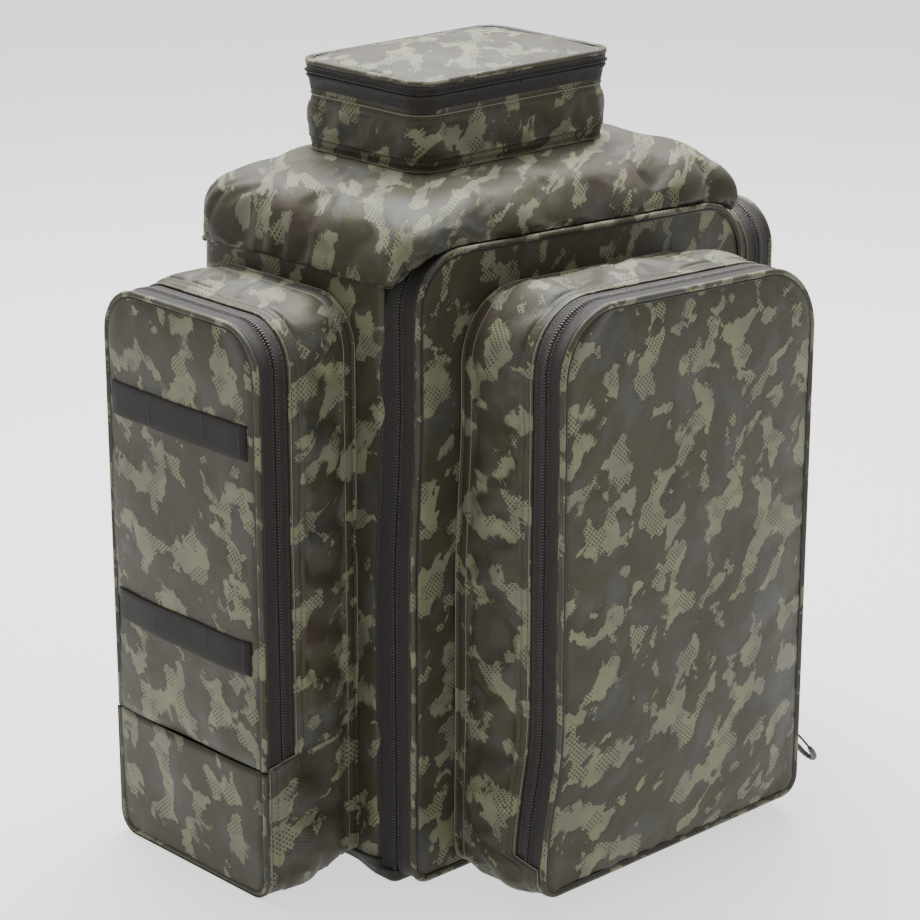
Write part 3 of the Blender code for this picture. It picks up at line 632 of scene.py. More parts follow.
class Graph:
    """A look, and a short way to write its nodes."""

    def __init__(self, name, roughness, sheen=0.0, metallic=0.0, specular=0.5):
        self.look = bpy.data.materials.new(name)
        self.look.use_nodes = True
        self.tree = self.look.node_tree
        self.shader = self.tree.nodes["Principled BSDF"]
        self.flat = True
        self.fed(self.shader, {"Roughness": roughness, "Metallic": metallic, "Specular IOR Level": specular})
        self.fed(self.shader, {"Sheen Weight": sheen, "Sheen Roughness": 0.4})

    def node(self, kind, **settings):
        made = self.tree.nodes.new(kind)
        for name, value in settings.items():
            setattr(made, name, value)
        return made

    def feed(self, socket, value):
        if isinstance(value, bpy.types.NodeSocket):
            self.tree.links.new(value, socket)
        else:
            socket.default_value = value

    def math(self, operation, *values, clamp=False):
        made = self.node("ShaderNodeMath", operation=operation, use_clamp=clamp)
        for socket, value in zip(made.inputs, values):
            self.feed(socket, value)
        return made.outputs[0]

    def fed(self, made, inputs):
        """The node's first output, once its inputs, given by name or number, are fed."""
        for name, value in inputs.items():
            self.feed(made.inputs[name], value)
        return made.outputs[0]

    def step(self, value, low, high):
        """0 below low and 1 above high, smoothly."""
        made = self.node("ShaderNodeMapRange", interpolation_type="SMOOTHSTEP")
        return self.fed(made, {"Value": value, "From Min": low, "From Max": high})

    def between(self, value, low, high):
        return self.fed(self.node("ShaderNodeMapRange"), {"Value": value, "To Min": low, "To Max": high})

    def times(self, first, second):
        return self.math("MULTIPLY", first, second)

    def scaled(self, value, factor, more):
        """The value times the factor, plus more."""
        return self.math("MULTIPLY_ADD", value, factor, more)

    def noise(self, vector, size, detail=2.0, roughness=0.5, distortion=0.0):
        """Noise whose features are about size across, in the vector's own unit."""
        made = self.node("ShaderNodeTexNoise", noise_dimensions="2D" if self.flat else "3D")
        shape = {"Scale": 1 / size, "Detail": detail, "Roughness": roughness, "Distortion": distortion}
        return self.fed(made, {"Vector": vector, **shape})

    def mix(self, factor, first, second, blend="MIX"):
        made = self.node("ShaderNodeMix", data_type="RGBA", blend_type=blend)
        self.fed(made, {0: factor, 6: first, 7: second})
        return made.outputs[2]

    def join(self, x, y, z=0.0):
        return self.fed(self.node("ShaderNodeCombineXYZ"), {0: x, 1: y, 2: z})

    def turned(self, vector, degrees, stretch=1.0, shift=0.0):
        """The vector with features drawn out along a direction, given in degrees from the first axis."""
        made = self.node("ShaderNodeMapping", vector_type="TEXTURE")
        turn = (0, 0, math.radians(degrees))
        frame = {"Location": (shift, shift * 0.7, 0), "Rotation": turn, "Scale": (stretch, 1, 1)}
        return self.fed(made, {"Vector": vector, **frame})

    def millimetres(self, metres):
        return self.fed(self.node("ShaderNodeVectorMath", operation="SCALE"), {0: metres, "Scale": 1000})

    def print_mm(self):
        """The piece's print coordinates, in millimetres, as a vector and as x and y."""
        scaled = self.millimetres(self.node("ShaderNodeUVMap", uv_map="print").outputs[0])
        parts = self.node("ShaderNodeSeparateXYZ")
        self.feed(parts.inputs[0], scaled)
        return scaled, parts.outputs[0], parts.outputs[1]

    def solid_mm(self):
        """The object's own coordinates in millimetres, for pieces without a print."""
        self.flat = False
        return self.millimetres(self.node("ShaderNodeTexCoord").outputs["Object"])

    def paint(self, colour, shade=None):
        """Sets the base colour, made lighter and darker by a shade."""
        if shade is not None:
            colour = self.mix(1.0, colour, self.join(shade, shade, shade), "MULTIPLY")
        self.feed(self.shader.inputs["Base Color"], colour)

    def rough(self, value):
        self.feed(self.shader.inputs["Roughness"], value)

    def bump(self, height, strength, distance):
        made = self.node("ShaderNodeBump")
        normal = self.fed(made, {"Strength": strength, "Distance": distance, "Height": height})
        self.feed(self.shader.inputs["Normal"], normal)


def wave(g, value, period, phase=0.0):
    """A sine of a coordinate, -1 to 1."""
    return g.math("SINE", g.scaled(value, 2 * math.pi / period, phase))


def weave(g, x, y, period):
    """Threads crossing over and under, as a height about -1 to 1."""
    return g.times(wave(g, x, period), wave(g, y, period))


DOT_PITCH = 4.9
TOOTH = 3.5
GROUND = {
    "brown": srgb(57, 53, 42),
    "olive": srgb(54, 52, 36),
    "grey": srgb(60, 59, 53),
    "russet": srgb(59, 52, 43),
    "shade": srgb(34, 32, 25),
}
PATCH = {"sage": srgb(104, 103, 80), "grey": srgb(96, 96, 79)}


def lattice(g, x, y, pitch, slant=0.0):
    """A staggered screen of dots, -1 between them to 1 on them."""
    rows = [wave(g, g.scaled(x, 1 / pitch, g.times(y, (slant + way) / pitch)), 1.0) for way in (1, -1)]
    return g.times(g.math("ADD", *rows), 0.5)


def hatching(g, x, y, lean_x, lean_y, period):
    return g.step(wave(g, g.scaled(x, lean_x, g.times(y, lean_y)), period), -0.5, 0.5)


def make_camo():
    """Printed camouflage: lacy sage patches with toothed, dotted edges over hatched ground tones."""
    g = Graph("camo_fabric", 0.58, sheen=0.04, specular=0.25)
    place, x, y = g.print_mm()
    teeth_screen = lattice(g, x, y, TOOTH, 0.25)
    dots = lattice(g, x, y, DOT_PITCH, 0.15)

    # Sage patches with long limbs, drawn out along one diagonal
    blobs = g.noise(g.turned(place, 48, 1.35), 31, 3.0, 0.55, 0.15)
    limbs = g.noise(g.turned(place, 50, 1.7, 210), 17, 2.0, 0.50, 0.3)
    base = g.scaled(limbs, 0.22, g.times(blobs, 0.80))
    zone = g.step(g.noise(g.turned(place, 60, 1.6, 310), 26, 1.0), 0.50, 0.58)
    level = g.scaled(teeth_screen, g.scaled(zone, 0.020, 0.011), base)
    patch = g.step(level, 0.548, 0.555)
    holes = g.times(g.step(dots, 0.18, 0.36), g.step(g.noise(place, 26, 1.0), 0.51, 0.54))
    patch = g.math("SUBTRACT", patch, holes, clamp=True)
    rim = g.math("SUBTRACT", g.step(base, 0.512, 0.540), g.step(base, 0.560, 0.570), clamp=True)

    # Ground tones and hatching
    tone = g.noise(g.turned(place, 40, 1.6, 120), 62, 2.0, 0.50, 0.1)
    other = g.noise(g.turned(place, 65, 1.5, 570), 50, 2.0, 0.50, 0.1)
    ground = g.mix(g.step(tone, 0.46, 0.56), GROUND["brown"], GROUND["olive"])
    ground = g.mix(g.step(other, 0.54, 0.64), ground, GROUND["grey"])
    ground = g.mix(g.step(g.noise(place, 60, 1.0), 0.60, 0.72), ground, GROUND["russet"])
    left_lines = hatching(g, x, y, 0.85, 0.53, 2.9)
    right_lines = hatching(g, x, y, 0.85, -0.53, 2.4)
    where = g.noise(g.turned(place, 45, 1.9, 910), 34, 1.0)
    hatch = g.times(left_lines, g.step(where, 0.58, 0.66))
    hatch = g.scaled(right_lines, g.step(where, 0.42, 0.34), hatch)
    ground = g.mix(g.times(hatch, 0.42), ground, GROUND["shade"])
    ground = g.mix(g.times(rim, 0.30), ground, GROUND["shade"])
    sage = g.mix(g.step(g.noise(place, 40, 2.0), 0.4, 0.6), PATCH["sage"], PATCH["grey"])
    colour = g.mix(patch, ground, sage)

    # Wear, a fine coated weave and soft handling creases
    wear = g.between(g.noise(place, 28, 4.0, 0.6), 0.84, 1.16)
    grain = g.between(g.noise(place, 0.9, 1.0), 0.90, 1.10)
    g.paint(colour, g.times(wear, grain))
    g.rough(g.between(g.noise(place, 14, 3.0, 0.6), 0.48, 0.66))
    rumple = g.times(g.noise(place, 11, 3.0, 0.55, 0.4), 0.8)
    height = g.scaled(weave(g, x, y, 0.9), 0.05, rumple)
    g.bump(height, 0.4, 0.0010)
    return g.look


def make_twill(name, colour, roughness, period, sheen=0.1, strength=0.5):
    """Plain narrow or heavy cloth with a diagonal twill and slight fading."""
    g = Graph(name, roughness, sheen=sheen, specular=0.25)
    place, x, y = g.print_mm()
    fade = g.between(g.noise(place, 22, 4.0, 0.6), 0.82, 1.18)
    thread = wave(g, g.math("ADD", x, y), period)
    cross = wave(g, g.math("SUBTRACT", x, y), period * 0.63)
    height = g.scaled(cross, 0.4, thread)
    shade = g.times(fade, g.between(g.scaled(height, 0.35, 0.5), 0.86, 1.12))
    g.paint(colour, shade)
    g.rough(g.between(g.noise(place, 8, 3.0, 0.6), roughness - 0.08, roughness + 0.08))
    g.bump(height, strength, 0.00025)
    return g.look


def make_webbing():
    """Woven webbing: ribs across, a chevron of threads along it."""
    g = Graph("webbing", 0.66, sheen=0.04, specular=0.2)
    place, x, y = g.print_mm()
    zigzag = g.math("ABSOLUTE", g.math("SUBTRACT", g.math("MODULO", y, 5.0), 2.5))
    ribs = wave(g, g.math("ADD", x, zigzag), 1.5)
    threads = wave(g, y, 0.9)
    height = g.scaled(threads, 0.5, ribs)
    fade = g.between(g.noise(place, 30, 3.0, 0.6), 0.85, 1.15)
    shade = g.times(fade, g.between(g.scaled(height, 0.33, 0.5), 0.8, 1.15))
    g.paint(srgb(33, 29, 27), shade)
    g.bump(height, 0.6, 0.0003)
    return g.look


def make_mesh_look():
    """Air mesh: a honeycomb of small holes over foam."""
    g = Graph("spacer_mesh", 0.8, sheen=0.2, specular=0.25)
    place, x, y = g.print_mm()
    holes = g.step(weave(g, x, y, 3.4), 0.25, 0.6)
    fade = g.between(g.noise(place, 25, 3.0, 0.6), 0.8, 1.2)
    g.paint(g.mix(holes, srgb(66, 62, 57), srgb(22, 21, 20)), fade)
    g.bump(g.math("SUBTRACT", 1.0, holes), 0.8, 0.0006)
    return g.look


def make_moulded(name, colour, roughness, metallic=0.0):
    """Moulded plastic or painted metal with a fine texture and worn, paler spots."""
    g = Graph(name, roughness, metallic=metallic)
    place = g.solid_mm()
    worn = g.step(g.noise(place, 6, 5.0, 0.65), 0.58, 0.75)
    paler = tuple(min(1.0, c * 1.7 + 0.01) for c in colour[:3]) + (1.0,)
    g.paint(g.mix(g.times(worn, 0.5), colour, paler))
    g.rough(g.between(g.noise(place, 2.5, 3.0, 0.6), roughness - 0.1, roughness + 0.12))
    g.bump(g.noise(place, 0.5), 0.25, 0.0002)
    return g.look


def make_thread(name, colour):
    """Twisted thread or cord, also used for thin tubes of painted highlight and for dark tubes of a seam
    with painted shade.
    """
    g = Graph(name, 0.6, sheen=0.1)
    place = g.solid_mm()
    fade = g.between(g.noise(place, 1.2), 0.7, 1.3)
    g.paint(colour, fade)
    g.bump(g.noise(place, 0.6, 1.0), 0.5, 0.0002)
    return g.look


def make_floor_look():
    g = Graph("studio_floor", 0.8, specular=0.1)
    glow = {"Base Color": (0.42, 0.42, 0.42, 1), "Emission Color": (1, 1, 1, 1), "Emission Strength": 1.2}
    g.fed(g.shader, glow)
    return g.look


LOOKS = {
    "camo": make_camo(),
    "tape": make_twill("zip_tape", srgb(36, 32, 30), 0.62, 1.1),
    "dark": make_twill("dark_fabric", srgb(38, 35, 31), 0.62, 1.3),
    "lining": make_twill("lining_fabric", srgb(50, 48, 44), 0.7, 1.0),
    "webbing": make_webbing(),
    "mesh": make_mesh_look(),
    "plastic": make_moulded("moulded_plastic", srgb(44, 41, 38), 0.45),
    "metal": make_moulded("slider_metal", srgb(58, 54, 50), 0.35, 0.8),
    "coil": make_moulded("zip_coil", srgb(44, 40, 38), 0.42),
    "thread": make_thread("stitch_thread", srgb(70, 67, 54)),
    "pale_thread": make_thread("edge_thread", srgb(96, 91, 80)),
    # pale colour for thin tubes on folded edges: a painted highlight
    "worn_edge": make_thread("worn_edge", srgb(108, 105, 86)),
    # near-black for the tubes beside the piping: a dark seam line with painted shade of its groove
    "seam": make_thread("seam_shadow", srgb(22, 20, 17)),
    "cord": make_thread("pull_cord", srgb(36, 34, 32)),
    "board": make_moulded("frame_board", srgb(40, 40, 40), 0.6),
}


# ---------------------------------------------------------------- body, yoke, collar, pockets and lid

stitches = {}
MIDDLE = (0, 0, 0.3)


def sewing(body):
    return stitches.setdefault(body, Many())


def spaced(length, fine=0.0015, dense=0.012, coarse=0.006, both=True):
    """Distances across a cloth, close together beside its sewn edges."""
    edge = np.arange(0, dense, fine)
    stop = length - dense if both else length
    middle = np.linspace(dense, stop, max(int((stop - dense) / coarse) + 1, 2))
    if both:
        return np.concatenate([edge, middle, length - edge[::-1]])
    return np.concatenate([edge, middle])


def make_body():
    """Main compartment's side and back walls, from the left front edge round the back to the right one."""
    half, back, corner = SHELL_HIGH.x, SHELL_HIGH.y, BODY_CORNER
    angle = np.radians(np.linspace(0, 90, 9))
    right = np.stack([half - corner + corner * np.cos(angle), back - corner + corner * np.sin(angle)], 1)
    left = right[::-1] * (-1, 1)
    ends = np.array([(half - 0.0030, SHELL_LOW.y - 0.0026), (half - 0.0008, SHELL_LOW.y - 0.0012)])
    rough = np.concatenate([ends, right, left, ends[::-1] * (-1, 1)])
    line = resample(rough, 0.008)
    heights = np.linspace(SHELL_LOW.z - 0.005, SHELL_HIGH.z + 0.002, 70)
    points = swayed(spread(line[:, None, 0], line[:, None, 1], heights[None, :]))
    run = lengths(line)
    prints = spread(run[:, None] + 2.0, heights[None, :])
    fabric = Fabric("body_walls", points, prints, MIDDLE)
    fabric.push(0.0008 * ripple(fabric.points, 0.07, 31))
    return fabric


def yoke_hem(x, y):
    """Height of the yoke's lower edge: level round the sides and back, arched over the zip at the front."""
    level = SHELL_HIGH.z - 0.004 * smooth(y / SHELL_HIGH.y)
    above = 0.0002 + 0.0096 * smooth((np.abs(x) - 0.170) / 0.035)
    radius = PANEL_CORNER + above
    over = np.clip((np.abs(x) - (PANEL_HIGH.x - PANEL_CORNER)) / radius, 0, 1)
    arch = PANEL_HIGH.z + above - radius * (1 - np.sqrt(1 - over**2))
    arch = np.maximum(arch + lean(x, arch, MAIN_SPLIT), level)
    return level + (arch - level) * smooth((-0.118 - y) / 0.020)


def make_yoke():
    """Padded yoke that turns over from the body's outline and closes in to the collar."""
    half, back = SHELL_HIGH.x, SHELL_HIGH.y
    levels = [
        (0.00, half - 0.0005, -0.1475, back + 0.001, 0.020),
        (0.00, half + 0.0015, -0.1615, back + 0.002, 0.030),
        (0.06, half + 0.0026, -0.1650, back + 0.003, 0.034),
        (0.22, half + 0.0026, -0.1660, back + 0.003, 0.037),
        (0.46, half + 0.0010, -0.1610, back + 0.002, 0.039),
        (0.66, half - 0.0060, -0.1490, back - 0.004, 0.041),
        (0.78, half - 0.0250, -0.1320, back - 0.015, 0.042),
        (0.88, 0.162, -0.1110, 0.103, 0.042),
        (0.97, 0.134, -0.0870, 0.093, 0.034),
        (1.00, COLLAR_HIGH.x - 0.0015, COLLAR_LOW.y + 0.0015, COLLAR_HIGH.y - 0.0015, COLLAR_CORNER),
    ]
    loops = []
    for share, side_x, low_y, high_y, corner in levels:
        outline = loop_outline((-side_x, side_x, low_y, high_y), corner, corner, 72, 40, 24)
        if share == 0:
            hem = yoke_hem(outline[:, 0], outline[:, 1])
            for _ in range(3):
                hem = (np.roll(hem, 1) + 2 * hem + np.roll(hem, -1)) / 4
        loops.append(spread(outline[:, 0], outline[:, 1], hem + (YOKE_TOP + 0.0015 - hem) * share))
    points = catmull(np.array(loops), 52).transpose(1, 0, 2)
    drop = lengths(points[0])
    along = points[..., 0] - points[..., 1]
    prints = spread(along + 1.1, drop[None, :] + 0.4)
    fabric = Fabric("yoke_fabric", points, np.concatenate([prints, prints[:1]]), (0, 0, 0.55), closed=True)
    up = fabric.from_edge()
    inner = smooth((up - 0.014) / 0.014) * smooth((fabric.from_edge(True) - 0.012) / 0.024)
    gather = np.sin(2 * math.pi * fabric.along / 0.026 + 2.4 * np.sin(fabric.along / 0.05))
    strength = np.clip(0.9 + 0.8 * ripple(fabric.points[:, :1], 0.09, 6), 0, 1.6)
    side_only = smooth((fabric.points[:, :1, 1] - SHELL_LOW.y) / 0.02)
    gather = gather[:, None] * np.exp(-up / 0.034) * smooth((up - 0.007) / 0.010)
    fabric.push(0.0020 * gather * strength * side_only)
    fabric.push(0.0022 * ripple(fabric.points, 0.075, 5) * inner)
    fabric.push(0.0032 * creases(fabric.points, (0.8, 0.3, -0.5), 0.085, 7) * inner)
    return will_settle(fabric, grow=0.03, pressure=1.6, cap=0.005, held=8)


def dart(fabric, corner_x, corner_y, height):
    """A short seam up from the lower edge at one corner, with the cloth puffed on both sides of it."""
    base = fabric.points[:, 0]
    row = int(np.argmin(np.hypot(base[:, 0] - corner_x, base[:, 1] - corner_y)))
    run = fabric.along
    total = run[-1] + 0.007
    away = np.abs(run - run[row])
    away = np.abs(np.minimum(away, total - away)[:, None] - 0.10 * fabric.from_edge())
    up = fabric.from_edge()
    fade = 1 - smooth((up - height * 0.6) / (height * 0.5))
    puff = 0.0036 * np.exp(-(((away - 0.014) / 0.009) ** 2))
    sunk = 0.0042 * np.exp(-((away / 0.0026) ** 2)) * smooth((up - 0.010) / 0.010)
    fabric.push(fade * (puff * smooth((up - 0.010) / 0.010) - sunk))


def make_collar():
    """The collar's wall, tucked a little way into the yoke, swelling between its seams."""
    start = COLLAR_LOW.z - COLLAR_TUCK
    heights = start + spaced(COLLAR_HIGH.z - start, fine=0.0012, dense=0.0192, coarse=0.005)
    share = (heights - heights[0]) / (heights[-1] - heights[0])
    swell = 0.0045 * np.sin(math.pi * np.clip(share * 1.1, 0, 1)) + 0.001
    rect = (-COLLAR_HIGH.x, COLLAR_HIGH.x, COLLAR_LOW.y, COLLAR_HIGH.y)
    outline = loop_outline(rect, COLLAR_CORNER, COLLAR_CORNER, 40, 24, 10)
    out = outward_2d(outline, True)
    ring = outline[:, None] + out[:, None] * swell[None, :, None]
    points = spread(ring[..., 0], ring[..., 1], heights[None, :])
    run = np.append(lengths(outline), 0)
    run[-1] = run[-2] + 0.006
    prints = spread(run[:, None] + 3.3, heights[None, :])
    fabric = Fabric("collar_fabric", points, prints, (0, 0, 0.66), closed=True)
    inner = smooth((fabric.from_edge() - 0.016) / 0.014) * smooth((fabric.from_edge(True) - 0.012) / 0.014)
    fabric.push(0.0050 * creases(fabric.points, (0.7, 0.5, 0.75), 0.060, 11) * inner)
    fabric.push(0.0020 * ripple(fabric.points, 0.045, 12) * inner)
    return will_settle(fabric, grow=0.04, pressure=1.0, cap=0.006, held=16)


def face_cloth(name, rect, low_corner, high_corner, step, place, depth, print_at, behind=MIDDLE, mirror=1):
    """A face's cloth, and u and v at its points: a row for each height, narrowing at rounded corners."""
    u0, u1, v0, v1 = rect
    angle = np.radians(np.linspace(0, 90, 9))
    low = v0 + low_corner * (1 - np.cos(angle))[:-1] if low_corner else np.array([])
    high = v1 - high_corner * (1 - np.sin(angle))[1:] if high_corner else np.array([])
    start, stop = v0 + low_corner, v1 - high_corner
    middle = np.linspace(start, stop, max(int((stop - start) / step) + 1, 2))
    heights = np.concatenate([low, middle, high])
    inset = np.zeros(len(heights))
    if low_corner:
        below = np.clip((start - heights) / low_corner, 0, 1)
        inset += low_corner * (1 - np.sqrt(1 - below**2))
    if high_corner:
        above = np.clip((heights - stop) / high_corner, 0, 1)
        inset += high_corner * (1 - np.sqrt(1 - above**2))
    shares = np.linspace(0, 1, int((u1 - u0) / step) + 1)
    u = (u0 + inset)[:, None] + ((u1 - u0) - 2 * inset)[:, None] * shares[None, :]
    v = np.broadcast_to(heights[:, None], u.shape)
    return Fabric(name, place(u, v, depth), np.stack([mirror * u, v], -1) + print_at, behind), u, v


def crown(u, v, rect, low=2.2, high=2.2):
    """0 on a rectangle's border to 1 in its middle."""
    u0, u1, v0, v1 = rect
    a = np.clip(1 - np.abs((u - (u0 + u1) / 2) / ((u1 - u0) / 2)) ** low, 0, 1)
    b = np.clip(1 - np.abs((v - (v0 + v1) / 2) / ((v1 - v0) / 2)) ** high, 0, 1)
    return np.sqrt(a * b)


def make_panel():
    """The front panel's cloth, inside its piping."""
    rect = shrunk(panel_rect, EDGE)
    grid = (rect, LOW_CORNER - EDGE, PANEL_CORNER - EDGE, 0.009, front, PANEL_FACE + 0.001)
    fabric, u, v = face_cloth("front_panel_fabric", *grid, (0.35, 0.10))
    fabric.push(0.0022 * ripple(fabric.points, 0.09, 21) * crown(u, v, rect))
    return fabric


def make_flap():
    """The front pocket's big face."""
    rect = shrunk(pocket_rect, EDGE)
    grid = (rect, LOW_CORNER - EDGE, POCKET_CORNER - EDGE, 0.008, front, POCKET_FACE + 0.001)
    fabric, u, v = face_cloth("front_pocket_face", *grid, (0.0, 0.0))
    slump = SLUMP * np.exp(-(((v - 0.16) / 0.14) ** 2))
    fabric.push((0.0050 + slump + 0.0020 * ripple(fabric.points, 0.16, 22)) * crown(u, v, rect))
    return will_settle(fabric, grow=0.006, pressure=0.8, cap=0.006)


def make_gusset(name, place, base, mouth, corners, depths, foot, counts, print_at, crease, seed):
    """A pocket's side wall, from where it is sewn on to its zip, or to the flap's lip below the zip."""
    near, far, lip = depths
    first = loop_outline(base, *corners, *counts)
    last = loop_outline(mouth, *corners, *counts)
    end = np.where(last[:, 1] < foot, lip, far)
    share = spaced(abs(far - near), fine=0.0012, dense=0.0168, coarse=0.0065) / abs(far - near)
    ring = first[:, None] * (1 - share)[None, :, None] + last[:, None] * share[None, :, None]
    depth = near + (end - near)[:, None] * share[None, :]
    points = place(ring[..., 0], ring[..., 1], depth)
    run = lengths(last, True)
    prints = spread(run[:, None], share[None, :] * abs(far - near)) + np.array(print_at)
    middle = np.append(ring.mean((0, 1)), depth.mean())
    fabric = Fabric(name, points, prints, place(*middle), closed=True)
    slack = np.sin(math.pi * share)[None, :] ** 0.7 * smooth((fabric.from_edge() - 0.014) / 0.02)
    direction, size = crease
    fabric.push(0.005 * slack)
    fabric.push(size * creases(fabric.points, direction, 0.055, seed) * slack)
    fabric.push(0.0022 * ripple(fabric.points, 0.06, seed + 3) * slack)
    return will_settle(fabric, grow=0.04, pressure=1.5, cap=0.009, held=14)


def front_gusset():
    w, low, high = POCKET_HIGH.x, POCKET_LOW.z, POCKET_HIGH.z
    base = (POCKET_TAPER - w, w - POCKET_TAPER, low - 0.011, high - 0.009)
    corners, depths = (LOW_CORNER, POCKET_CORNER), (PANEL_FACE, POCKET_ZIP_END, POCKET_FACE + 0.004)
    shape = (front, base, shrunk(pocket_rect, 0.001), corners, depths, POCKET_FOOT, (60, 96, 14))
    return make_gusset("front_pocket_gusset_fabric", *shape, (5.0, 0.2), ((1.0, 0.85, -0.5), 0.0060), 41)


def side_gusset(name, sign):
    y0, y1, z0, z1 = SIDE_LOW.y, SIDE_HIGH.y, TOE_LOW.z, SIDE_HIGH.z
    base = (y0 + 0.006, y1 - 0.006, z0 + 0.008, z1 + 0.004)
    mouth = (y0 + 0.001, y1 - 0.001, z0, z1 - 0.001)
    corners, depths = (LOW_CORNER, SIDE_CORNER), (SHELL_HIGH.x, SIDE_ZIP_END, SIDE_FACE - 0.003)
    shape = (side(sign), base, mouth, corners, depths, SIDE_HINGE + 0.006, (40, 90, 12))
    crease = ((-0.9 * sign, 0.3, -0.45), 0.0065)
    return make_gusset(f"{name}_pocket_gusset_fabric", *shape, (7.0 + sign, 0.5), crease, 51 + sign)


def side_faces(name, sign):
    """The side pocket's flap, above its seam, and the fixed toe below it."""
    y0, y1 = SIDE_LOW.y, SIDE_HIGH.y
    offset = np.array([9.0 + sign * 0.7, 0.3])
    face_heights = (SIDE_HINGE + 0.0016, SIDE_HIGH.z - EDGE)
    toe_heights = (TOE_LOW.z + EDGE, SIDE_HINGE - 0.0004)
    parts = (
        ("face", face_heights, (0, SIDE_CORNER - EDGE), offset, -0.05, 61),
        ("toe_fabric", toe_heights, (LOW_CORNER - EDGE, 0), offset + 0.4, TOE_LOW.z, 71),
    )
    for part, heights, corners, print_at, foot, seed in parts:
        grid = ((y0 + EDGE, y1 - EDGE, *heights), *corners, 0.008, side(sign), SIDE_FACE - 0.001)
        fabric, u, v = face_cloth(f"{name}_pocket_{part}", *grid, print_at, mirror=-sign)
        swell = crown(u, v, (y0, y1, foot, SIDE_HIGH.z))
        fabric.push((0.0035 + 0.0018 * ripple(fabric.points, 0.12, seed + sign)) * swell)
        yield fabric


def make_lid_top():
    rect, corner = shrunk(lid_rect, EDGE), COLLAR_CORNER - EDGE
    grid = (rect, corner, corner, 0.007, spread, LID_HIGH.z - 0.003)
    fabric, u, v = face_cloth("lid_fabric", *grid, (4.4, 0.2), (0, 0, 0.5))
    fabric.push((0.009 + 0.0012 * ripple(fabric.points, 0.08, 81)) * crown(u, v, rect))
    return will_settle(fabric, grow=0.008, pressure=0.5, cap=0.004, held=4)


body_walls = make_body()
yoke = make_yoke()
collar = make_collar()
panel = make_panel()
flap = make_flap()
pocket_wall = front_gusset()
lid_top = make_lid_top()
SIDES = {"left": -1, "right": 1}
side_walls = {name: side_gusset(name, sign) for name, sign in SIDES.items()}
faces = {name: tuple(side_faces(name, sign)) for name, sign in SIDES.items()}
for face, toe in faces.values():
    will_settle(face, grow=0.006, pressure=0.6, cap=0.004)
settle()
for wall in (pocket_wall, *side_walls.values()):
    wall.points[..., 2] = np.maximum(wall.points[..., 2], GROUND_CLEARANCE)

# Sewn lines and darts, once the cloth has settled: how far in, and whether from the far edge
WALL_SEAMS = ((0.0034, False), (0.0126, False), (0.0040, True), (0.0110, True))
COLLAR_SEAMS = ((0.0084, False), (0.0152, False), (0.0118, True))
WALL_EDGES = ((0.0008, False), (0.0142, False), (0.0022, True))
COLLAR_EDGES = ((0.0060, False), (0.0096, True))
dart(yoke, SHELL_LOW.x, DART_PLACE, DART_HEIGHT)
dart(yoke, SHELL_HIGH.x, DART_PLACE, DART_HEIGHT)
for wall in (pocket_wall, *side_walls.values()):
    for inset in (0.0010, 0.0150):
        wall.fold(inset)
    wall.fold(0.0012, far=True)
    for inset, far in WALL_SEAMS:
        wall.groove(inset, far)
for name, sign in SIDES.items():
    seam = side_walls[name].points[:, 0]
    seam[:, 0] -= sign * BACK_SEAM_DEPTH * smooth((seam[:, 1] - 0.085) / 0.02)
for inset, far in ((0.0062, False), (0.0172, False), (0.0096, True)):
    collar.fold(inset, far)
for inset, far in COLLAR_SEAMS:
    collar.groove(inset, far)

outer_cloth = [
    (body_walls, "pack", "main_shell"),
    (yoke, "pack", "yoke_shell"),
    (collar, "pack", "collar_wall"),
    (panel, "front_panel", "front_panel"),
    (flap, "front_pocket_flap", "front_pocket_flap"),
    (pocket_wall, "front_panel", "front_pocket_gusset"),
    (lid_top, "lid", "lid_panel"),
]
for name in SIDES:
    outer_cloth.append((side_walls[name], "pack", f"{name}_pocket_gusset"))
    outer_cloth.append((faces[name][0], f"{name}_pocket_flap", f"{name}_pocket_flap"))
    outer_cloth.append((faces[name][1], "pack", f"{name}_pocket_toe"))
for fabric, body, node in outer_cloth:
    sew(fabric, body, "camo", "camo_fabric", node)

for wall in (pocket_wall, *side_walls.values()):
    body = "front_panel" if wall is pocket_wall else "pack"
    for inset, far in WALL_SEAMS:
        stitch(sewing(body), wall.line(inset, far, 0.0002), closed=True)
for inset, far in COLLAR_SEAMS:
    stitch(sewing("pack"), collar.line(inset, far, 0.0002), closed=True)
stitch(sewing("pack"), yoke.line(0.0035, True, 0.0003), closed=True)
stitch(sewing("pack"), yoke.line(0.0045, False, 0.0003), closed=True)

# Pale tubes along the folded edges: a painted highlight where the folds catch the light
for wall in (pocket_wall, *side_walls.values(), collar):
    body = "front_panel" if wall is pocket_wall else "pack"
    for inset, far in COLLAR_EDGES if wall is collar else WALL_EDGES:
        name = f"{wall.name}_edge_{round(inset * 10000)}_{int(far)}"
        mesh = sweep_mesh(name, *wall.line(inset, far, 0.0001), ring_section(0.0005, 6), True)
        piece(mesh, "worn_edge", body, "camo_fabric")


# ---------------------------------------------------------------- piping


def piping(name, outline, place, depths, body, closed, *replaced):
    """A corded edge along an outline. depths are its middle's and one further out."""
    path, further = (place(outline[:, 0], outline[:, 1], depth) for depth in depths)
    out = unit(further - path)
    shape = {"closed": closed, "offset": (seed_of(name) * 0.01, 0)}
    swept(name, path, out, ring_section(PIPING_RADIUS), "camo", body, "camo_fabric", *replaced, **shape)
    inward = -outward_2d(outline, closed)
    # A thin dark tube each side of the piping: a sewn seam line, and painted shade of the groove beside it
    for part, shift, sink in (("inner", 0.0034, 0.0016), ("outer", -0.0012, -0.0036)):
        seam = outline + inward * shift
        line = place(seam[:, 0], seam[:, 1], depths[0]) + out * sink
        facts = ("seam", body, "dark_fabric")
        swept(f"{name}_{part}_seam", line, out, ring_section(0.0009, 8), *facts, closed=closed)


def edge_loop(rect, low_corner, high_corner, inset=PIPING_RADIUS):
    rough = loop_outline(shrunk(rect, inset), low_corner - inset, high_corner - inset, 30, 40, 24)
    return resample(rough, 0.004, closed=True)


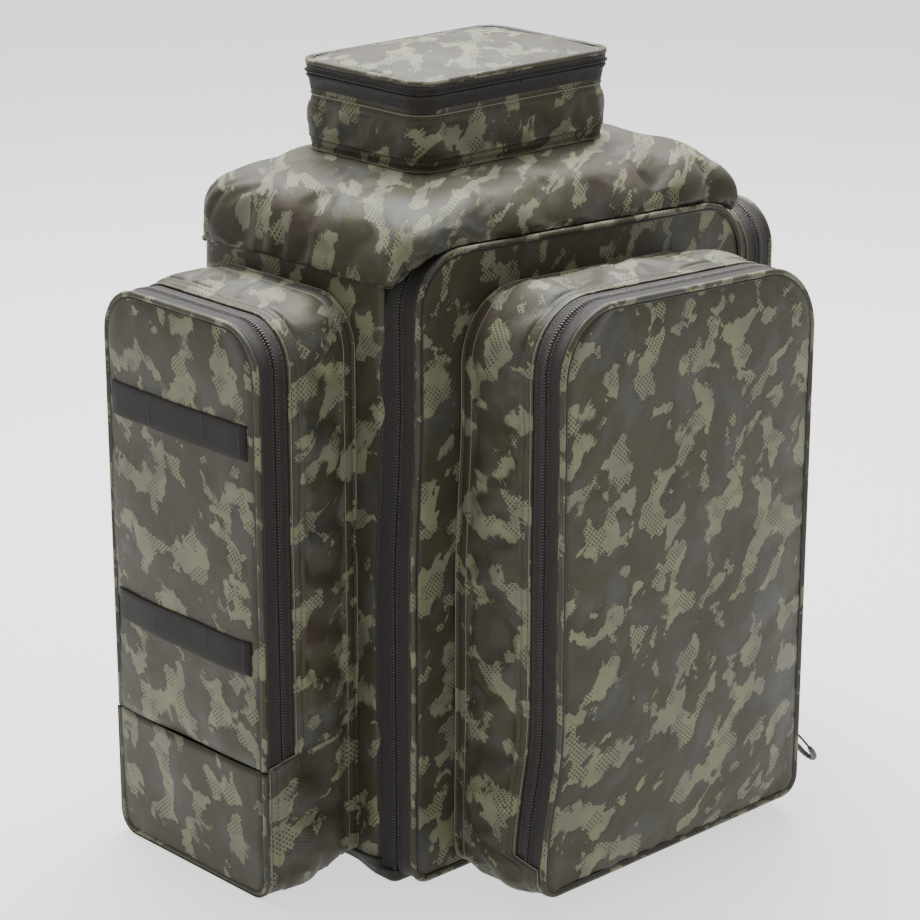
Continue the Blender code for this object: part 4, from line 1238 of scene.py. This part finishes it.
# Each closed tube's name, body, place, outline, and the depths of its middle and of one further out
PIPING = [
    ("front_panel", "front_panel", front, (panel_rect, LOW_CORNER, PANEL_CORNER),
     (PANEL_FACE + 0.002, PANEL_FACE)),
    ("front_pocket", "front_pocket_flap", front, (pocket_rect, LOW_CORNER, POCKET_CORNER),
     (POCKET_FACE + 0.002, POCKET_FACE)),
    ("lid", "lid", spread, (lid_rect, COLLAR_CORNER, COLLAR_CORNER),
     (LID_HIGH.z - PIPING_RADIUS, LID_HIGH.z)),
]
for name, body, place, outline, depths in PIPING:
    piping(f"{name}_piping_tube", edge_loop(*outline), place, depths, body, True, f"{name}_piping")
for name, sign in SIDES.items():
    tube, body = f"{name}_flap_piping_tube", f"{name}_pocket_flap"
    depths, corner = (SIDE_FACE - 0.002, SIDE_FACE), SIDE_CORNER - PIPING_RADIUS
    ends = (SIDE_LOW.y + PIPING_RADIUS, SIDE_HIGH.y - PIPING_RADIUS)
    outline = arch_outline((*ends, SIDE_HINGE + 0.001, SIDE_HIGH.z - PIPING_RADIUS), corner, 0.004)
    piping(tube, outline, side(sign), depths, body, False, f"{name}_pocket_piping")
    low_rect = (*ends, 0.001 - SIDE_HINGE, -(TOE_LOW.z + PIPING_RADIUS))
    outline = arch_outline(low_rect, LOW_CORNER - PIPING_RADIUS, 0.004) * (1, -1)
    piping(f"{name}_toe_piping_tube", outline, side(sign), depths, "pack", False)


# ---------------------------------------------------------------- zips

# The tape's height above flat, at shares of its width from the sewn edge to the split
RIDGE = [
    (0.0, 0.0),
    (0.3, 0.0),
    (0.55, 0.0),
    (0.68, 0.0001),
    (0.76, 0.0006),
    (0.9, 0.0007),
    (0.965, 0.0002),
    (0.995, -0.0002),
]


def zip_half(name, outline, place, depths, rises, body, node, closed=False):
    """One tape of a zip, from its sewn edge to the split, with its coil turns along the split."""
    out = outward_2d(outline, closed)
    share, ridge = np.array(RIDGE).T
    rise = rises[0] + (rises[1] - rises[0]) * share + ridge
    ring = outline[:, None] + out[:, None] * rise[None, :, None]
    depth = depths[0] + (depths[1] - depths[0]) * share
    points = place(ring[..., 0], ring[..., 1], np.broadcast_to(depth[None, :], ring.shape[:2]))
    run = lengths(outline, closed)
    width = abs(depths[1] - depths[0])
    prints = spread(run[:, None], share[None, :] * width)
    middle = place(outline[:, 0].mean(), outline[:, 1].mean(), depth.mean())
    tape = Fabric(f"{name}_fabric", points, prints, middle, closed)
    sew(tape, body, "tape", "zip_tape", node, lining="tape", thick=0.0011)
    split, normal = tape.points[:, -1], tape.normals()[:, -1]
    towards = tape.points[:, -3] - tape.points[:, -1]
    outwards = tape.normals()[:, 2]
    phase = float("body" in node or "collar" in node)
    coil = Many()
    teeth(coil, split - normal * 0.0003, outwards, towards, closed=closed, phase=phase)
    coil.piece(f"{name}_coil", body, "coil", "zip_tape")
    beads = Many()
    stitch(beads, tape.line(0.0036, True, 0.0004), closed=closed, length=0.0014, gap=0.0014, wide=0.0007)
    beads.piece(f"{name}_coil_thread", body, "pale_thread", "zip_tape")
    sewn = 0.0068 if "pocket_zip_body" in name else 0.0028
    stitch(sewing(body), tape.line(sewn, False, 0.0001), closed=closed)
    return tape


def arch_of(rect, corner, inset, foot):
    u0, u1, _, v1 = rect
    return arch_outline((u0 + inset, u1 - inset, foot, v1 - inset), corner - inset, 0.004)


main_line = arch_of(panel_rect, PANEL_CORNER, TAPE_INSET, 0.003)
panel_line = edge_loop(panel_rect, LOW_CORNER, PANEL_CORNER, TAPE_INSET)
panel_line = panel_line[panel_line[:, 1] > 0.009]
pocket_line = arch_of(pocket_rect, POCKET_CORNER, TAPE_INSET, POCKET_FOOT - SEWN_UNDER)
lid_line = resample(loop_outline(shrunk(lid_rect, 0.001), 0.023, 0.023, 30, 30, 16), 0.004, closed=True)

# Each half's name, line, place, depths and rises from its sewn edge to the split, body and node
FLUSH = (0.0, 0.0)
ZIPS = [
    ("main_zip_panel_half", panel_line, front, (PANEL_FACE + 0.003, MAIN_SPLIT - HALF_GAP), (0.0, 0.0015),
     "front_panel", "main_zip_panel_tape"),
    ("main_zip_body_half", main_line, front, (SHELL_LOW.y + 0.002, MAIN_SPLIT + HALF_GAP), (0.0070, 0.0015),
     "pack", "main_zip_body_tape"),
    ("front_pocket_zip_flap_half", pocket_line, front, (POCKET_FACE + 0.003, POCKET_SPLIT - HALF_GAP), FLUSH,
     "front_pocket_flap", "front_pocket_zip_flap_tape"),
    ("front_pocket_zip_body_half", pocket_line, front,
     (POCKET_ZIP_END + SEWN_UNDER, POCKET_SPLIT + HALF_GAP), FLUSH,
     "front_panel", "front_pocket_zip_body_tape"),
]
for name, sign in SIDES.items():
    line = arch_of((SIDE_LOW.y, SIDE_HIGH.y, 0, SIDE_HIGH.z), SIDE_CORNER, TAPE_INSET, SIDE_HINGE + 0.001)
    for half, body, depths in (
        ("flap", f"{name}_pocket_flap", (SIDE_FACE - 0.003, SIDE_SPLIT + HALF_GAP)),
        ("body", "pack", (SIDE_ZIP_END - SEWN_UNDER, SIDE_SPLIT - HALF_GAP)),
    ):
        title = f"{name}_pocket_zip_{half}"
        ZIPS.append((f"{title}_half", line, side(sign), depths, FLUSH, body, f"{title}_tape"))
ZIPS += [
    ("lid_zip_lid_half", lid_line, spread, (LID_HIGH.z - 0.005, LID_SPLIT), (-0.0005, -0.0005),
     "lid", "lid_zip_tape", True),
    ("lid_zip_collar_half", lid_line, spread, (COLLAR_HIGH.z - 0.0075, LID_SPLIT - 2 * HALF_GAP),
     (-0.0042, -0.0010), "pack", "collar_zip_tape", True),
]
for facts in ZIPS:
    zip_half(*facts)


# ---------------------------------------------------------------- webbing bands on the side pockets

for name, sign in SIDES.items():
    face = faces[name][0]
    for place in ("upper", "lower"):
        low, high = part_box(f"{name}_{place}_webbing")
        heights = face.points[:, 0, 2]
        row = float(np.interp((low.z + high.z) / 2, heights, np.arange(len(heights))))
        path, out = face.course(row, 0.0002)
        keep = (path[:, 1] > low.y) & (path[:, 1] < high.y - 0.001)
        path, out = path[keep], out[keep]
        if sign < 0:
            path, out = path[::-1], out[::-1]
        body, node = f"{name}_pocket_flap", f"{name}_{place}_webbing"
        strip(f"{node}_band", path, out, high.z - low.z, 0.0018, body, node)
        many = sewing(body)
        for share in (0.02, 0.33, 0.72, 0.985):
            at = int(share * (len(path) - 1))
            middle = path[at] + out[at] * 0.0019
            bar_tack(many, middle, out[at], UPWARDS, 0.0145, 12, length=0.0022, gap=0.0006, wide=0.0012)


# ---------------------------------------------------------------- base


def make_base_piece():
    """The base: a slab of heavy cloth that turns up a little round its edge."""
    low, high = BASE_LOW, BASE_HIGH
    rect = (low.x - 0.0028, high.x + 0.0028, low.y + 0.002, high.y)
    outline = loop_outline(rect, 0.010, BODY_CORNER, 40, 24, 8)
    insets = (0.010, 0.003, 0.0, 0.0, 0.0002)
    rows = []
    for inset, z in zip(insets, (low.z, low.z, low.z + 0.003, high.z - 0.001, high.z)):
        inward = outline - outward_2d(outline, True) * inset
        rows.append(spread(inward[:, 0], inward[:, 1], z))
    points = swayed(np.array(rows).transpose(1, 0, 2))
    mesh = bpy.data.meshes.new("base_fabric")
    count, levels = points.shape[:2]
    faces_list = []
    for i in range(count):
        j = (i + 1) % count
        for k in range(levels - 1):
            faces_list.append((i * levels + k, j * levels + k, j * levels + k + 1, i * levels + k + 1))
    faces_list.append(tuple(i * levels for i in range(count))[::-1])
    faces_list.append(tuple(i * levels + levels - 1 for i in range(count)))
    mesh.from_pydata(points.reshape(-1, 3).tolist(), [], faces_list)
    layer = mesh.uv_layers.new(name="print")
    for loop in mesh.loops:
        p = mesh.vertices[loop.vertex_index].co
        layer.data[loop.index].uv = (p.x + p.y * 0.3, p.y + p.z)
    mesh.shade_smooth()
    mesh.set_sharp_from_angle(angle=math.radians(50))
    return piece(mesh, "dark", "pack", "dark_fabric", "base_panel")


def make_corner_guards():
    """The base's cloth turns up round the lower front corners, and a lip backs the front panel's foot."""
    half = SHELL_HIGH.x + 0.0009
    for name, sign in SIDES.items():
        guides = [(half, 0.100), (half, SHELL_LOW.y), (half - 0.003, SHELL_LOW.y - 0.0026)]
        line = resample(np.array(guides), 0.004)
        top = 0.0125 + 0.008 * smooth((-0.085 - line[:, 1]) / 0.045)
        share = np.linspace(0, 1, 9)
        heights = 0.0008 + (top[:, None] - 0.0008) * share[None, :]
        inward = 0.006 * (1 - smooth(heights / 0.010))
        points = swayed(spread(sign * (line[:, None, 0] - inward), line[:, None, 1], heights))
        prints = spread(line[:, None, 1], heights)
        guard = Fabric(f"{name}_corner_guard", points, prints, (0, 0, 0.02))
        sew(guard, "pack", "dark", "dark_fabric", lining="dark")
        stitch(sewing("pack"), guard.line(0.002, True, 0.0002))
    outline = edge_loop(panel_rect, LOW_CORNER, PANEL_CORNER, TAPE_INSET)
    outline = np.roll(outline, len(outline) // 2, axis=0)
    outline = outline[outline[:, 1] < 0.012]
    depth = np.linspace(PANEL_FACE + 0.003, MAIN_SPLIT - 0.008, 5)
    points = front(outline[:, None, 0], outline[:, None, 1], depth[None, :])
    prints = spread(lengths(outline)[:, None], depth[None, :])
    lip = Fabric("front_panel_lip", points, prints, (0, -0.16, 0.3))
    sew(lip, "front_panel", "tape", "zip_tape", lining="tape", thick=0.0011)


make_base_piece()
make_corner_guards()


# ---------------------------------------------------------------- zip sliders and their pulls

SLIDER_HEIGHT = 0.0052
BRIDGE_REACH = 0.0035
PULL_LENGTH = 0.052
PULL_WIDTH = 0.022
GRIP_START = 0.62  # share of the pull's length where its cord runs into the grip
SLIDERS = {
    "main": ((1, 0, 0), (0, 0, 1), (0, 0, 0)),
    "front_pocket": ((1, 0, 0), (0, 0, 1), (0.75, -0.10, 0)),
    "lid": ((1, 0, 0), (0, -1, 0), (0, 0, 0)),
    "left_pocket": ((0, 1, 0), (0, 0, 1), (0, 0, 0)),
    "right_pocket": ((0, 1, 0), (0, 0, 1), (0, 0, 0)),
}
HINGES = {joint["name"]: joint for joint in frame["joints"]}


def loft(name, place, axes, outline, levels, look, body, slot, *replaced, corner=0.0012):
    """A moulded piece: an outline at several heights, each (height, scale), with softened edges."""
    u, v, w = (np.array(axis, float) for axis in axes)
    rings = []
    for rise, size in levels:
        rings.append(place + outline[:, :1] * u * size + outline[:, 1:] * v * size + w * rise)
    mesh = grid_mesh(name, np.array(rings), np.zeros((len(rings) + 1, len(outline) + 1, 2)), False, True)
    cap_ends(mesh, len(rings), len(outline))
    mesh.set_sharp_from_angle(angle=math.radians(40))
    obj = add_object(name, mesh, LOOKS[look])
    bevel = obj.modifiers.new("soft edges", "BEVEL")
    bevel.width, bevel.segments, bevel.angle_limit = corner, 3, math.radians(35)
    return attach(obj, body, slot, *replaced)


def superellipse(half_u, half_v, power, sides=40, waist=0.0):
    """A rounded outline, drawn in at its middle by waist."""
    angle = np.linspace(0, 2 * math.pi, sides, endpoint=False)
    cos, sin = np.cos(angle), np.sin(angle)
    u = half_u * np.sign(cos) * np.abs(cos) ** (2 / power)
    v = half_v * np.sign(sin) * np.abs(sin) ** (2 / power)
    return np.stack([u * (1 - waist * (1 - (v / half_v) ** 2)), v], 1)


def make_zip_pull(name, out, along, leaning):
    """A slider with a bridge, and a loop of cord whose far half runs through a moulded grip."""
    out, along = np.array(out, float), np.array(along, float)
    top = np.array(HINGES[f"{name}_pull_swing"]["pos_m"], float)
    place = top - out * (SLIDER_HEIGHT + BRIDGE_REACH)
    across = np.cross(along, out)
    outline = superellipse(0.0056, 0.0100, 3.0, waist=0.22)
    outline[:, 0] *= 1 + 0.16 * outline[:, 1] / 0.0100
    levels = ((0.0002, 0.92), (0.0010, 1.0), (0.0030, 1.0), (0.0042, 0.90), (0.0048, 0.70))
    body = f"{name}_slider"
    facts = ("metal", body, "slider_metal")
    loft(f"{name}_slider_body", place, (across, along, out), outline, levels, *facts, f"{name}_zip_slider")
    turn = np.linspace(0, math.pi, 15)[:, None]
    arch = place + along * 0.0062 * np.cos(turn) + out * (0.0040 + 0.0052 * np.sin(turn))
    bar = superellipse(0.0021, 0.0008, 4.0, 12)
    swept(f"{name}_slider_bridge", arch, out + along * 0.3, bar, *facts)

    down = unit(np.array((0, 0, -1.0)) + leaning)
    aside = unit(np.cross(out, down))
    face = np.cross(down, aside)
    body = f"{name}_pull"

    def loop(start, stop, count):
        turn = np.linspace(start, stop, count)
        reach = (1 - np.cos(turn)) / 2
        wide = np.sin(turn) * (0.35 + 0.65 * reach)
        path = top + down * (PULL_LENGTH * reach)[:, None]
        return path + aside * (PULL_WIDTH / 2 * wide)[:, None], reach

    start = math.acos(1 - 2 * GRIP_START)
    path, _ = loop(-start - 0.10, start + 0.10, 44)
    swept(f"{name}_pull_cord", path, face, ring_section(0.0011, 10), "cord", body, "moulded_plastic")
    path, reach = loop(start, 2 * math.pi - start, 40)
    swell = 0.72 + 0.28 * smooth((reach - GRIP_START) / 0.10)
    section = superellipse(0.0027, 0.0023, 3.2, 18)[None] * swell[:, None, None]
    ribs = 1 - 0.10 * (np.sin(np.arange(40) * 1.57) > 0.5)
    section *= ribs[:, None, None]
    swept(f"{name}_pull_grip", path, face, section, "plastic", body, "moulded_plastic", f"{name}_zip_pull")


for name, facts in SLIDERS.items():
    make_zip_pull(name, *facts)


# ---------------------------------------------------------------- harness

# The right strap and its lower webbing, from the top down, and the right hip wing from its root
STRAP_GUIDES = [
    (0.058, 0.139, 0.566),
    (0.060, 0.160, 0.583),
    (0.066, 0.182, 0.568),
    (0.075, 0.194, 0.510),
    (0.086, 0.194, 0.430),
    (0.098, 0.190, 0.350),
    (0.106, 0.184, 0.285),
]
STRAP_WEB_GUIDES = [
    (0.1065, 0.1832, 0.2560),
    (0.110, 0.1822, 0.225),
    (0.121, 0.178, 0.160),
    (0.137, 0.158, 0.090),
    (0.150, 0.1335, 0.045),
]
HIP_GUIDES = [
    (0.178, 0.1375, 0.125),
    (0.188, 0.160, 0.125),
    (0.184, 0.190, 0.125),
    (0.162, 0.214, 0.125),
    (0.125, 0.228, 0.125),
    (0.080, 0.234, 0.125),
    (0.034, 0.236, 0.125),
]
STRAP_HALF = 0.034
STRAP_THICK = 0.013
HIP_HALF = 0.040
WEB_WIDTH = 0.025


def frames(path, out):
    """Unit vectors across a path and out of it."""
    along = unit(np.gradient(path, axis=0))
    across = unit(np.cross(along, out))
    return across, unit(np.cross(across, along))


def make_pad(name, path, out, halves, thicks, body, node, channels, seed):
    """A foam pad along a path: cloth outside, air mesh towards the wearer, bound edges and sewn channels."""
    angle = np.linspace(0, 2 * math.pi, 48, endpoint=False)
    shape = np.stack([np.sign(np.cos(angle)) * np.abs(np.cos(angle)) ** 0.62, np.sin(angle)], 1)
    full = np.sign(shape[:, 1]) * np.abs(shape[:, 1]) ** 0.72
    for channel in channels:
        full = full * (1 - 0.42 * np.exp(-(((shape[:, 0] - channel) / 0.055) ** 2)))
    swell = 1 + 0.10 * ripple(path, 0.05, seed)
    section = np.stack([halves[:, None] * shape[:, 0], (thicks * swell)[:, None] * full * 0.5], -1)
    mesh = sweep_mesh(name, path, out, section, offset=(seed * 0.37, 0))
    obj = add_object(name, mesh, LOOKS["dark"], LOOKS["mesh"])
    for face in mesh.polygons:
        face.material_index = int(shape[face.vertices[0] % 48, 1] < -0.02 and face.loop_total == 4)
    attach(obj, body, "dark_fabric", node)
    across, up = frames(path, out)
    many = sewing(body)
    for edge in (-1, 1):
        line = path + across * (halves * edge)[:, None]
        binding = superellipse(0.0024, 0.0030, 2.4, 12)
        title = f"{name}_binding_{'left' if edge < 0 else 'right'}"
        swept(title, line, out, binding, "tape", body, "webbing")
        rise = path + across * ((halves - 0.0045) * edge)[:, None] + up * (thicks * 0.5 * 0.62)[:, None]
        stitch(many, (rise[2:-2], up[2:-2]))
    return across, up


def spine_tape(name, path, up, across, width, thick, inset, body):
    """Webbing sewn down the middle of a pad with two lines of stitches."""
    strip(name, path, up, width, thick, body)
    for edge in (-inset, inset):
        stitch(sewing(body), (path + across * edge + up * (thick + 0.0001), up))


def centred(node):
    """The middle and the half sizes of a CAD node's box."""
    low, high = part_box(node)
    return np.array((low + high) / 2), np.array((high - low) / 2)


def away_from_pack(path):
    """The outer side of a strap that hangs down the wearer's front."""
    return unit(np.cross((1.0, 0.0, 0.0), np.gradient(path, axis=0)))


def make_shoulder_strap(name, sign):
    path = catmull(np.array(STRAP_GUIDES) * (sign, 1, 1), 90)
    share = np.linspace(0, 17, 90)
    taper = np.minimum(0.55 + 0.45 * np.clip(share / 4, 0, 1), 0.55 + 0.45 * np.clip((17 - share) / 2, 0, 1))
    thicks = STRAP_THICK * (0.55 + 0.45 * np.minimum(smooth(share / 1.5), smooth((17 - share) / 1.2)))
    out = away_from_pack(path)
    facts = (STRAP_HALF * taper, thicks, "pack", f"{name}_strap_pad", (-0.5, 0.5), 3 + sign)
    across, up = make_pad(f"{name}_strap_cushion", path, out, *facts)
    spine = path + up * (thicks * 0.5 * 0.98)[:, None]
    keep = slice(4, 87)
    line = (spine[keep], up[keep], across[keep])
    spine_tape(f"{name}_strap_spine_tape", *line, WEB_WIDTH, 0.0014, 0.0105, "pack")
    for at in (20, 44, 66):
        middle = spine[at] + up[at] * 0.0016
        thread = {"length": 0.0020, "gap": 0.0005, "wide": 0.0012}
        bar_tack(sewing("pack"), middle, up[at], across[at], 0.011, 10, **thread)
    web = catmull(np.array(STRAP_WEB_GUIDES) * (sign, 1, 1), 60)
    out = away_from_pack(web)
    strip(f"{name}_lower_strap", web, out, WEB_WIDTH, 0.0022, "pack", f"{name}_strap_webbing")
    node = f"{name}_ladder_lock"
    middle, half = centred(node)
    bars = ((0.0, 0.0), (half[2] * 0.62, 0.0006), (-half[2] * 0.62, 0.0006))
    outline = loop_outline((-half[0], half[0], -half[2], half[2]), 0.004, 0.004, 8, 6, 6) * 0.88
    rim = middle + spread(outline[:, 0], 0.0, outline[:, 1])
    bar = superellipse(0.0020, 0.0026, 3.0, 14)
    facts = ("plastic", "pack", "moulded_plastic")
    swept(f"{node}_frame", rim, BACKWARDS, bar, *facts, node, closed=True)
    for count, (height, rise) in enumerate(bars):
        line = middle + spread(np.linspace(-half[0] * 0.86, half[0] * 0.86, 12), rise, height)
        swept(f"{node}_bar_{count}", line, BACKWARDS, bar * 0.8, *facts)


def make_back_cushion():
    """Back pad: quilted air mesh with a channel down the spine and a bound edge."""
    low, high = PAD_LOW, PAD_HIGH
    across = np.linspace(low.x, high.x, 121)
    up = np.linspace(low.z, high.z, 131)
    x, z = np.meshgrid(across, up, indexing="ij")
    depth = high.y - low.y
    edge = np.minimum.reduce([x - low.x, high.x - x, z - low.z, high.z - z])
    profile = depth * (0.30 + 0.70 * np.sqrt(np.clip(1 - (1 - np.clip(edge / 0.016, 0, 1)) ** 2, 0, 1)))
    spine = np.exp(-((np.clip(np.abs(x) - 0.012, 0, 1) / 0.010) ** 2))
    profile *= 1 - 0.66 * spine
    column = np.exp(-(((np.abs(x) - 0.086) / 0.0035) ** 2)) * (edge > 0.02)
    profile *= 1 - 0.30 * column
    for row in range(1, 4):
        height = low.z + (high.z - low.z) * row / 4
        sewn = np.exp(-(((z - height - 0.10 * np.abs(x) + 0.008) / 0.0035) ** 2)) * (np.abs(x) > 0.022)
        profile *= 1 - 0.40 * sewn * smooth(edge / 0.01)
    points = spread(x, low.y + 0.0002 + profile, z)
    prints = spread(x, z) + (12.0, 0.3)
    fabric = Fabric("back_cushion", points, prints, (0, 0, 0.35))
    fabric.push(0.0006 * ripple(fabric.points, 0.035, 91))
    cushion = sew(fabric, "pack", "mesh", "spacer_mesh", "back_pad", lining="lining")
    outline = loop_outline((low.x, high.x, low.z, high.z), 0.004, 0.004, 60, 60, 4)
    rim = spread(outline[:, 0], low.y + 0.0035, outline[:, 1])
    binding = superellipse(0.0020, 0.0034, 2.6, 12)
    swept("back_cushion_binding", rim, BACKWARDS, binding, "tape", "pack", "webbing", closed=True)
    for x_at in (-0.0225, 0.0225):
        line = spread(x_at, 0.0, np.linspace(low.z + 0.012, high.z - 0.012, 80))
        i = int(np.argmin(np.abs(across - x_at)))
        line[:, 1] = np.interp(line[:, 2], up, fabric.points[i, :, 1]) + 0.0003
        stitch(sewing("pack"), (line, BACKWARDS))


def make_haul_handle():
    """Grab handle: doubled webbing with a stitched, padded middle."""
    low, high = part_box("haul_loop")
    pivot = HINGES["haul_loop_fold"]["pos_m"]
    left = [(-0.030, 0.1325), (-0.031, 0.142), (-0.031, 0.158), (-0.016, 0.172)]
    guides = [(x, y, pivot[2]) for x, y in left]
    path = catmull(guides + [(-x, y, z) for x, y, z in guides[::-1]], 70)
    out = np.cross(np.gradient(path, axis=0), (0, 0, 1.0))
    half = (high.z - low.z) / 2
    behind = np.maximum(pivot[1] - path[:, 1], 0)
    wide = np.minimum(half, np.sqrt(np.maximum((half + 0.0004) ** 2 - behind**2, 1e-8)))
    section = strip_section(2.0, 0.0034, edge=0.16)[None] * np.stack([wide, np.ones(70)], 1)[:, None]
    section = section - np.array((0.0, 0.0017))
    swept("haul_loop_webbing", path, out, section, "webbing", "haul_loop", "webbing", "haul_loop")
    for height in (-0.008, 0.008):
        for face in (-1, 1):
            line = path + unit(out) * 0.0019 * face + (0, 0, height)
            stitch(sewing("haul_loop"), (line[8:-8], unit(out)[8:-8] * face))


def make_sternum():
    """Chest strap: two webbing halves and a side-release buckle between them."""
    for name in ("sternum_strap_left", "sternum_strap_right"):
        low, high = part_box(name)
        middle = (low + high) / 2
        path = np.array([(x, low.y, middle.z) for x in np.linspace(low.x, high.x, 24)])
        path[:, 1] += 0.0003 * np.sin(np.linspace(0, 3 * math.pi, 24))
        strip(f"{name}_web", path, BACKWARDS, high.z - low.z, 0.0018, "sternum_strap", name)
        for end in (2, 21):
            middle = path[end] + (0, 0.0019, 0)
            many = sewing("sternum_strap")
            bar_tack(many, middle, BACKWARDS, UPWARDS, 0.008, 9, length=0.0018, gap=0.0004)
    make_buckle("sternum_buckle", "sternum_strap", ("socket", "plug"))


def make_buckle(node, body, halves):
    """A side-release buckle filling a CAD node's box: a waisted socket, and a plug with two sprung arms."""
    middle, size = centred(node)
    axes = ((1, 0, 0), (0, 0, 1), (0, 1, 0))
    facts = ("plastic", body, "moulded_plastic")
    thick = size[1]
    side_of = -1 if middle[0] < 0 else 1
    if len(halves) == 2:
        spans = {"socket": (-size[0], size[0] * 0.25), "plug": (size[0] * 0.32, size[0])}
    else:
        spans = {halves[0]: (-size[0], size[0])}
    for half, (start, stop) in spans.items():
        length = (stop - start) / 2
        centre = middle + np.array((start + stop, 0, 0)) / 2
        if half == "plug" and len(halves) == 1:
            centre = middle + np.array((side_of * length * 0.42, 0, 0))
            length *= 0.56
        outline = superellipse(length, size[2] * 0.97, 4.5, 44)
        if half == "socket":
            outline[:, 1] *= 1 - 0.16 * np.exp(-((outline[:, 0] / (length * 0.45)) ** 2))
        levels = ((-thick, 0.88), (-thick * 0.72, 0.98), (0.0, 1.0), (thick * 0.72, 0.98), (thick, 0.86))
        replaced = (node,) if half == halves[0] else ()
        loft(f"{node}_{half}_half", centre, axes, outline, levels, *facts, *replaced)
        rib = superellipse(length * 0.20, size[2] * 0.55, 3.0, 24)
        levels = ((thick * 0.8, 1.0), (thick * 1.02, 0.94), (thick * 1.10, 0.80))
        loft(f"{node}_{half}_rib", centre, axes, rib, levels, *facts, corner=0.0004)
    if halves == ("plug",):
        for arm in (-1, 1):
            turn = np.linspace(0, 1, 16)[:, None]
            root = middle + np.array((side_of * size[0] * 0.05, 0, arm * size[2] * 0.62))
            reach = np.array((-side_of * size[0] * 0.98, 0, arm * size[2] * 0.16))
            path = root + reach * turn + np.array((0, 0, arm * 0.0016)) * np.sin(math.pi * turn)
            section = superellipse(0.0024, thick * 0.55, 3.0, 14)
            title = f"{node}_arm_{'low' if arm < 0 else 'high'}"
            swept(title, path, BACKWARDS, section, *facts)
        tongue = middle + np.linspace(0, -side_of * size[0] * 0.85, 12)[:, None] * (1, 0, 0)
        swept(f"{node}_tongue", tongue, BACKWARDS, superellipse(0.0030, thick * 0.4, 3.0, 14), *facts)


def make_hip_wing(name, sign):
    path = catmull(np.array(HIP_GUIDES) * (sign, 1, 1), 80)
    share = np.linspace(0, 1, 80)
    halves = HIP_HALF * (1 - 0.55 * share**1.5)
    thicks = 0.011 * (0.6 + 0.4 * np.minimum(smooth(share / 0.08), smooth((1 - share) / 0.08)))
    out = unit(np.cross(np.gradient(path, axis=0), (0, 0, 1.0))) * sign
    body = f"{name}_hip_wing"
    facts = (halves, thicks, body, f"hip_wing_{name}", (-0.45, 0.45), 11 + sign)
    across, up = make_pad(f"{name}_hip_cushion", path, out, *facts)
    spine = path + up * (thicks * 0.5)[:, None]
    keep = slice(6, 79)
    line = (spine[keep], up[keep], across[keep])
    spine_tape(f"{name}_hip_spine_tape", *line, WEB_WIDTH * 0.9, 0.0013, 0.0095, body)
    half = "plug" if sign < 0 else "socket"
    make_buckle(f"hip_buckle_{half}", body, (half,))


make_back_cushion()
make_haul_handle()
make_sternum()
for name, sign in SIDES.items():
    make_shoulder_strap(name, sign)
    make_hip_wing(name, sign)

# The stiffening board inside the back wall keeps its own shape
board = frame["nodes"]["frame_sheet"]
board.data.materials.clear()
board.data.materials.append(LOOKS["board"])


# ---------------------------------------------------------------- stitching pieces

for body, many in stitches.items():
    many.piece(f"{body}_stitching", body, "thread", "dark_fabric")


# ---------------------------------------------------------------- camera, floor and light

CAMERA = {
    "azimuth": -43.19, "elevation": 18.75, "distance": 2.892, "lens": 117.4, "target": (-0.001, 0.0, 0.3232),
}
FLOOR_REACH = 12


def put(data, place, towards):
    """Adds a camera or a light that points in a direction."""
    obj = bpy.data.objects.new(data.name, data)
    bpy.context.scene.collection.objects.link(obj)
    obj.location = place
    obj.rotation_mode = "QUATERNION"
    obj.rotation_quaternion = Vector(towards).to_track_quat("-Z", "Y")
    return obj


def make_camera():
    data = bpy.data.cameras.new("camera")
    data.lens = CAMERA["lens"]
    data.sensor_width = 36
    a, e = math.radians(CAMERA["azimuth"]), math.radians(CAMERA["elevation"])
    back = np.array([math.sin(a) * math.cos(e), -math.cos(a) * math.cos(e), math.sin(e)])
    bpy.context.scene.camera = put(data, np.array(CAMERA["target"]) + back * CAMERA["distance"], -back)


def area_light(name, place, aim, size, power):
    data = bpy.data.lights.new(name, "AREA")
    data.shape = "RECTANGLE"
    data.size = data.size_y = size
    data.energy = power
    put(data, place, Vector(aim) - Vector(place))


def make_studio():
    mesh = bpy.data.meshes.new("floor")
    corners = [(-1, -1), (1, -1), (1, 1), (-1, 1)]
    mesh.from_pydata([(x * FLOOR_REACH, y * FLOOR_REACH, 0) for x, y in corners], [], [(0, 1, 2, 3)])
    add_object("floor", mesh, make_floor_look())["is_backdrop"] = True
    world = bpy.data.worlds.new("studio")
    world.use_nodes = True
    background = world.node_tree.nodes["Background"]
    background.inputs["Color"].default_value = (1, 1, 1, 1)
    background.inputs["Strength"].default_value = 0.60
    bpy.context.scene.world = world
    area_light("top", (0.5, 0.7, 2.6), (0, 0, 0.4), 2.2, 300)
    area_light("key", (1.9, -1.6, 1.9), (0, 0, 0.35), 1.4, 5)
    area_light("fill", (-2.4, -1.4, 1.3), (0, 0, 0.3), 1.6, 1)


make_camera()
make_studio()

low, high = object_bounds()
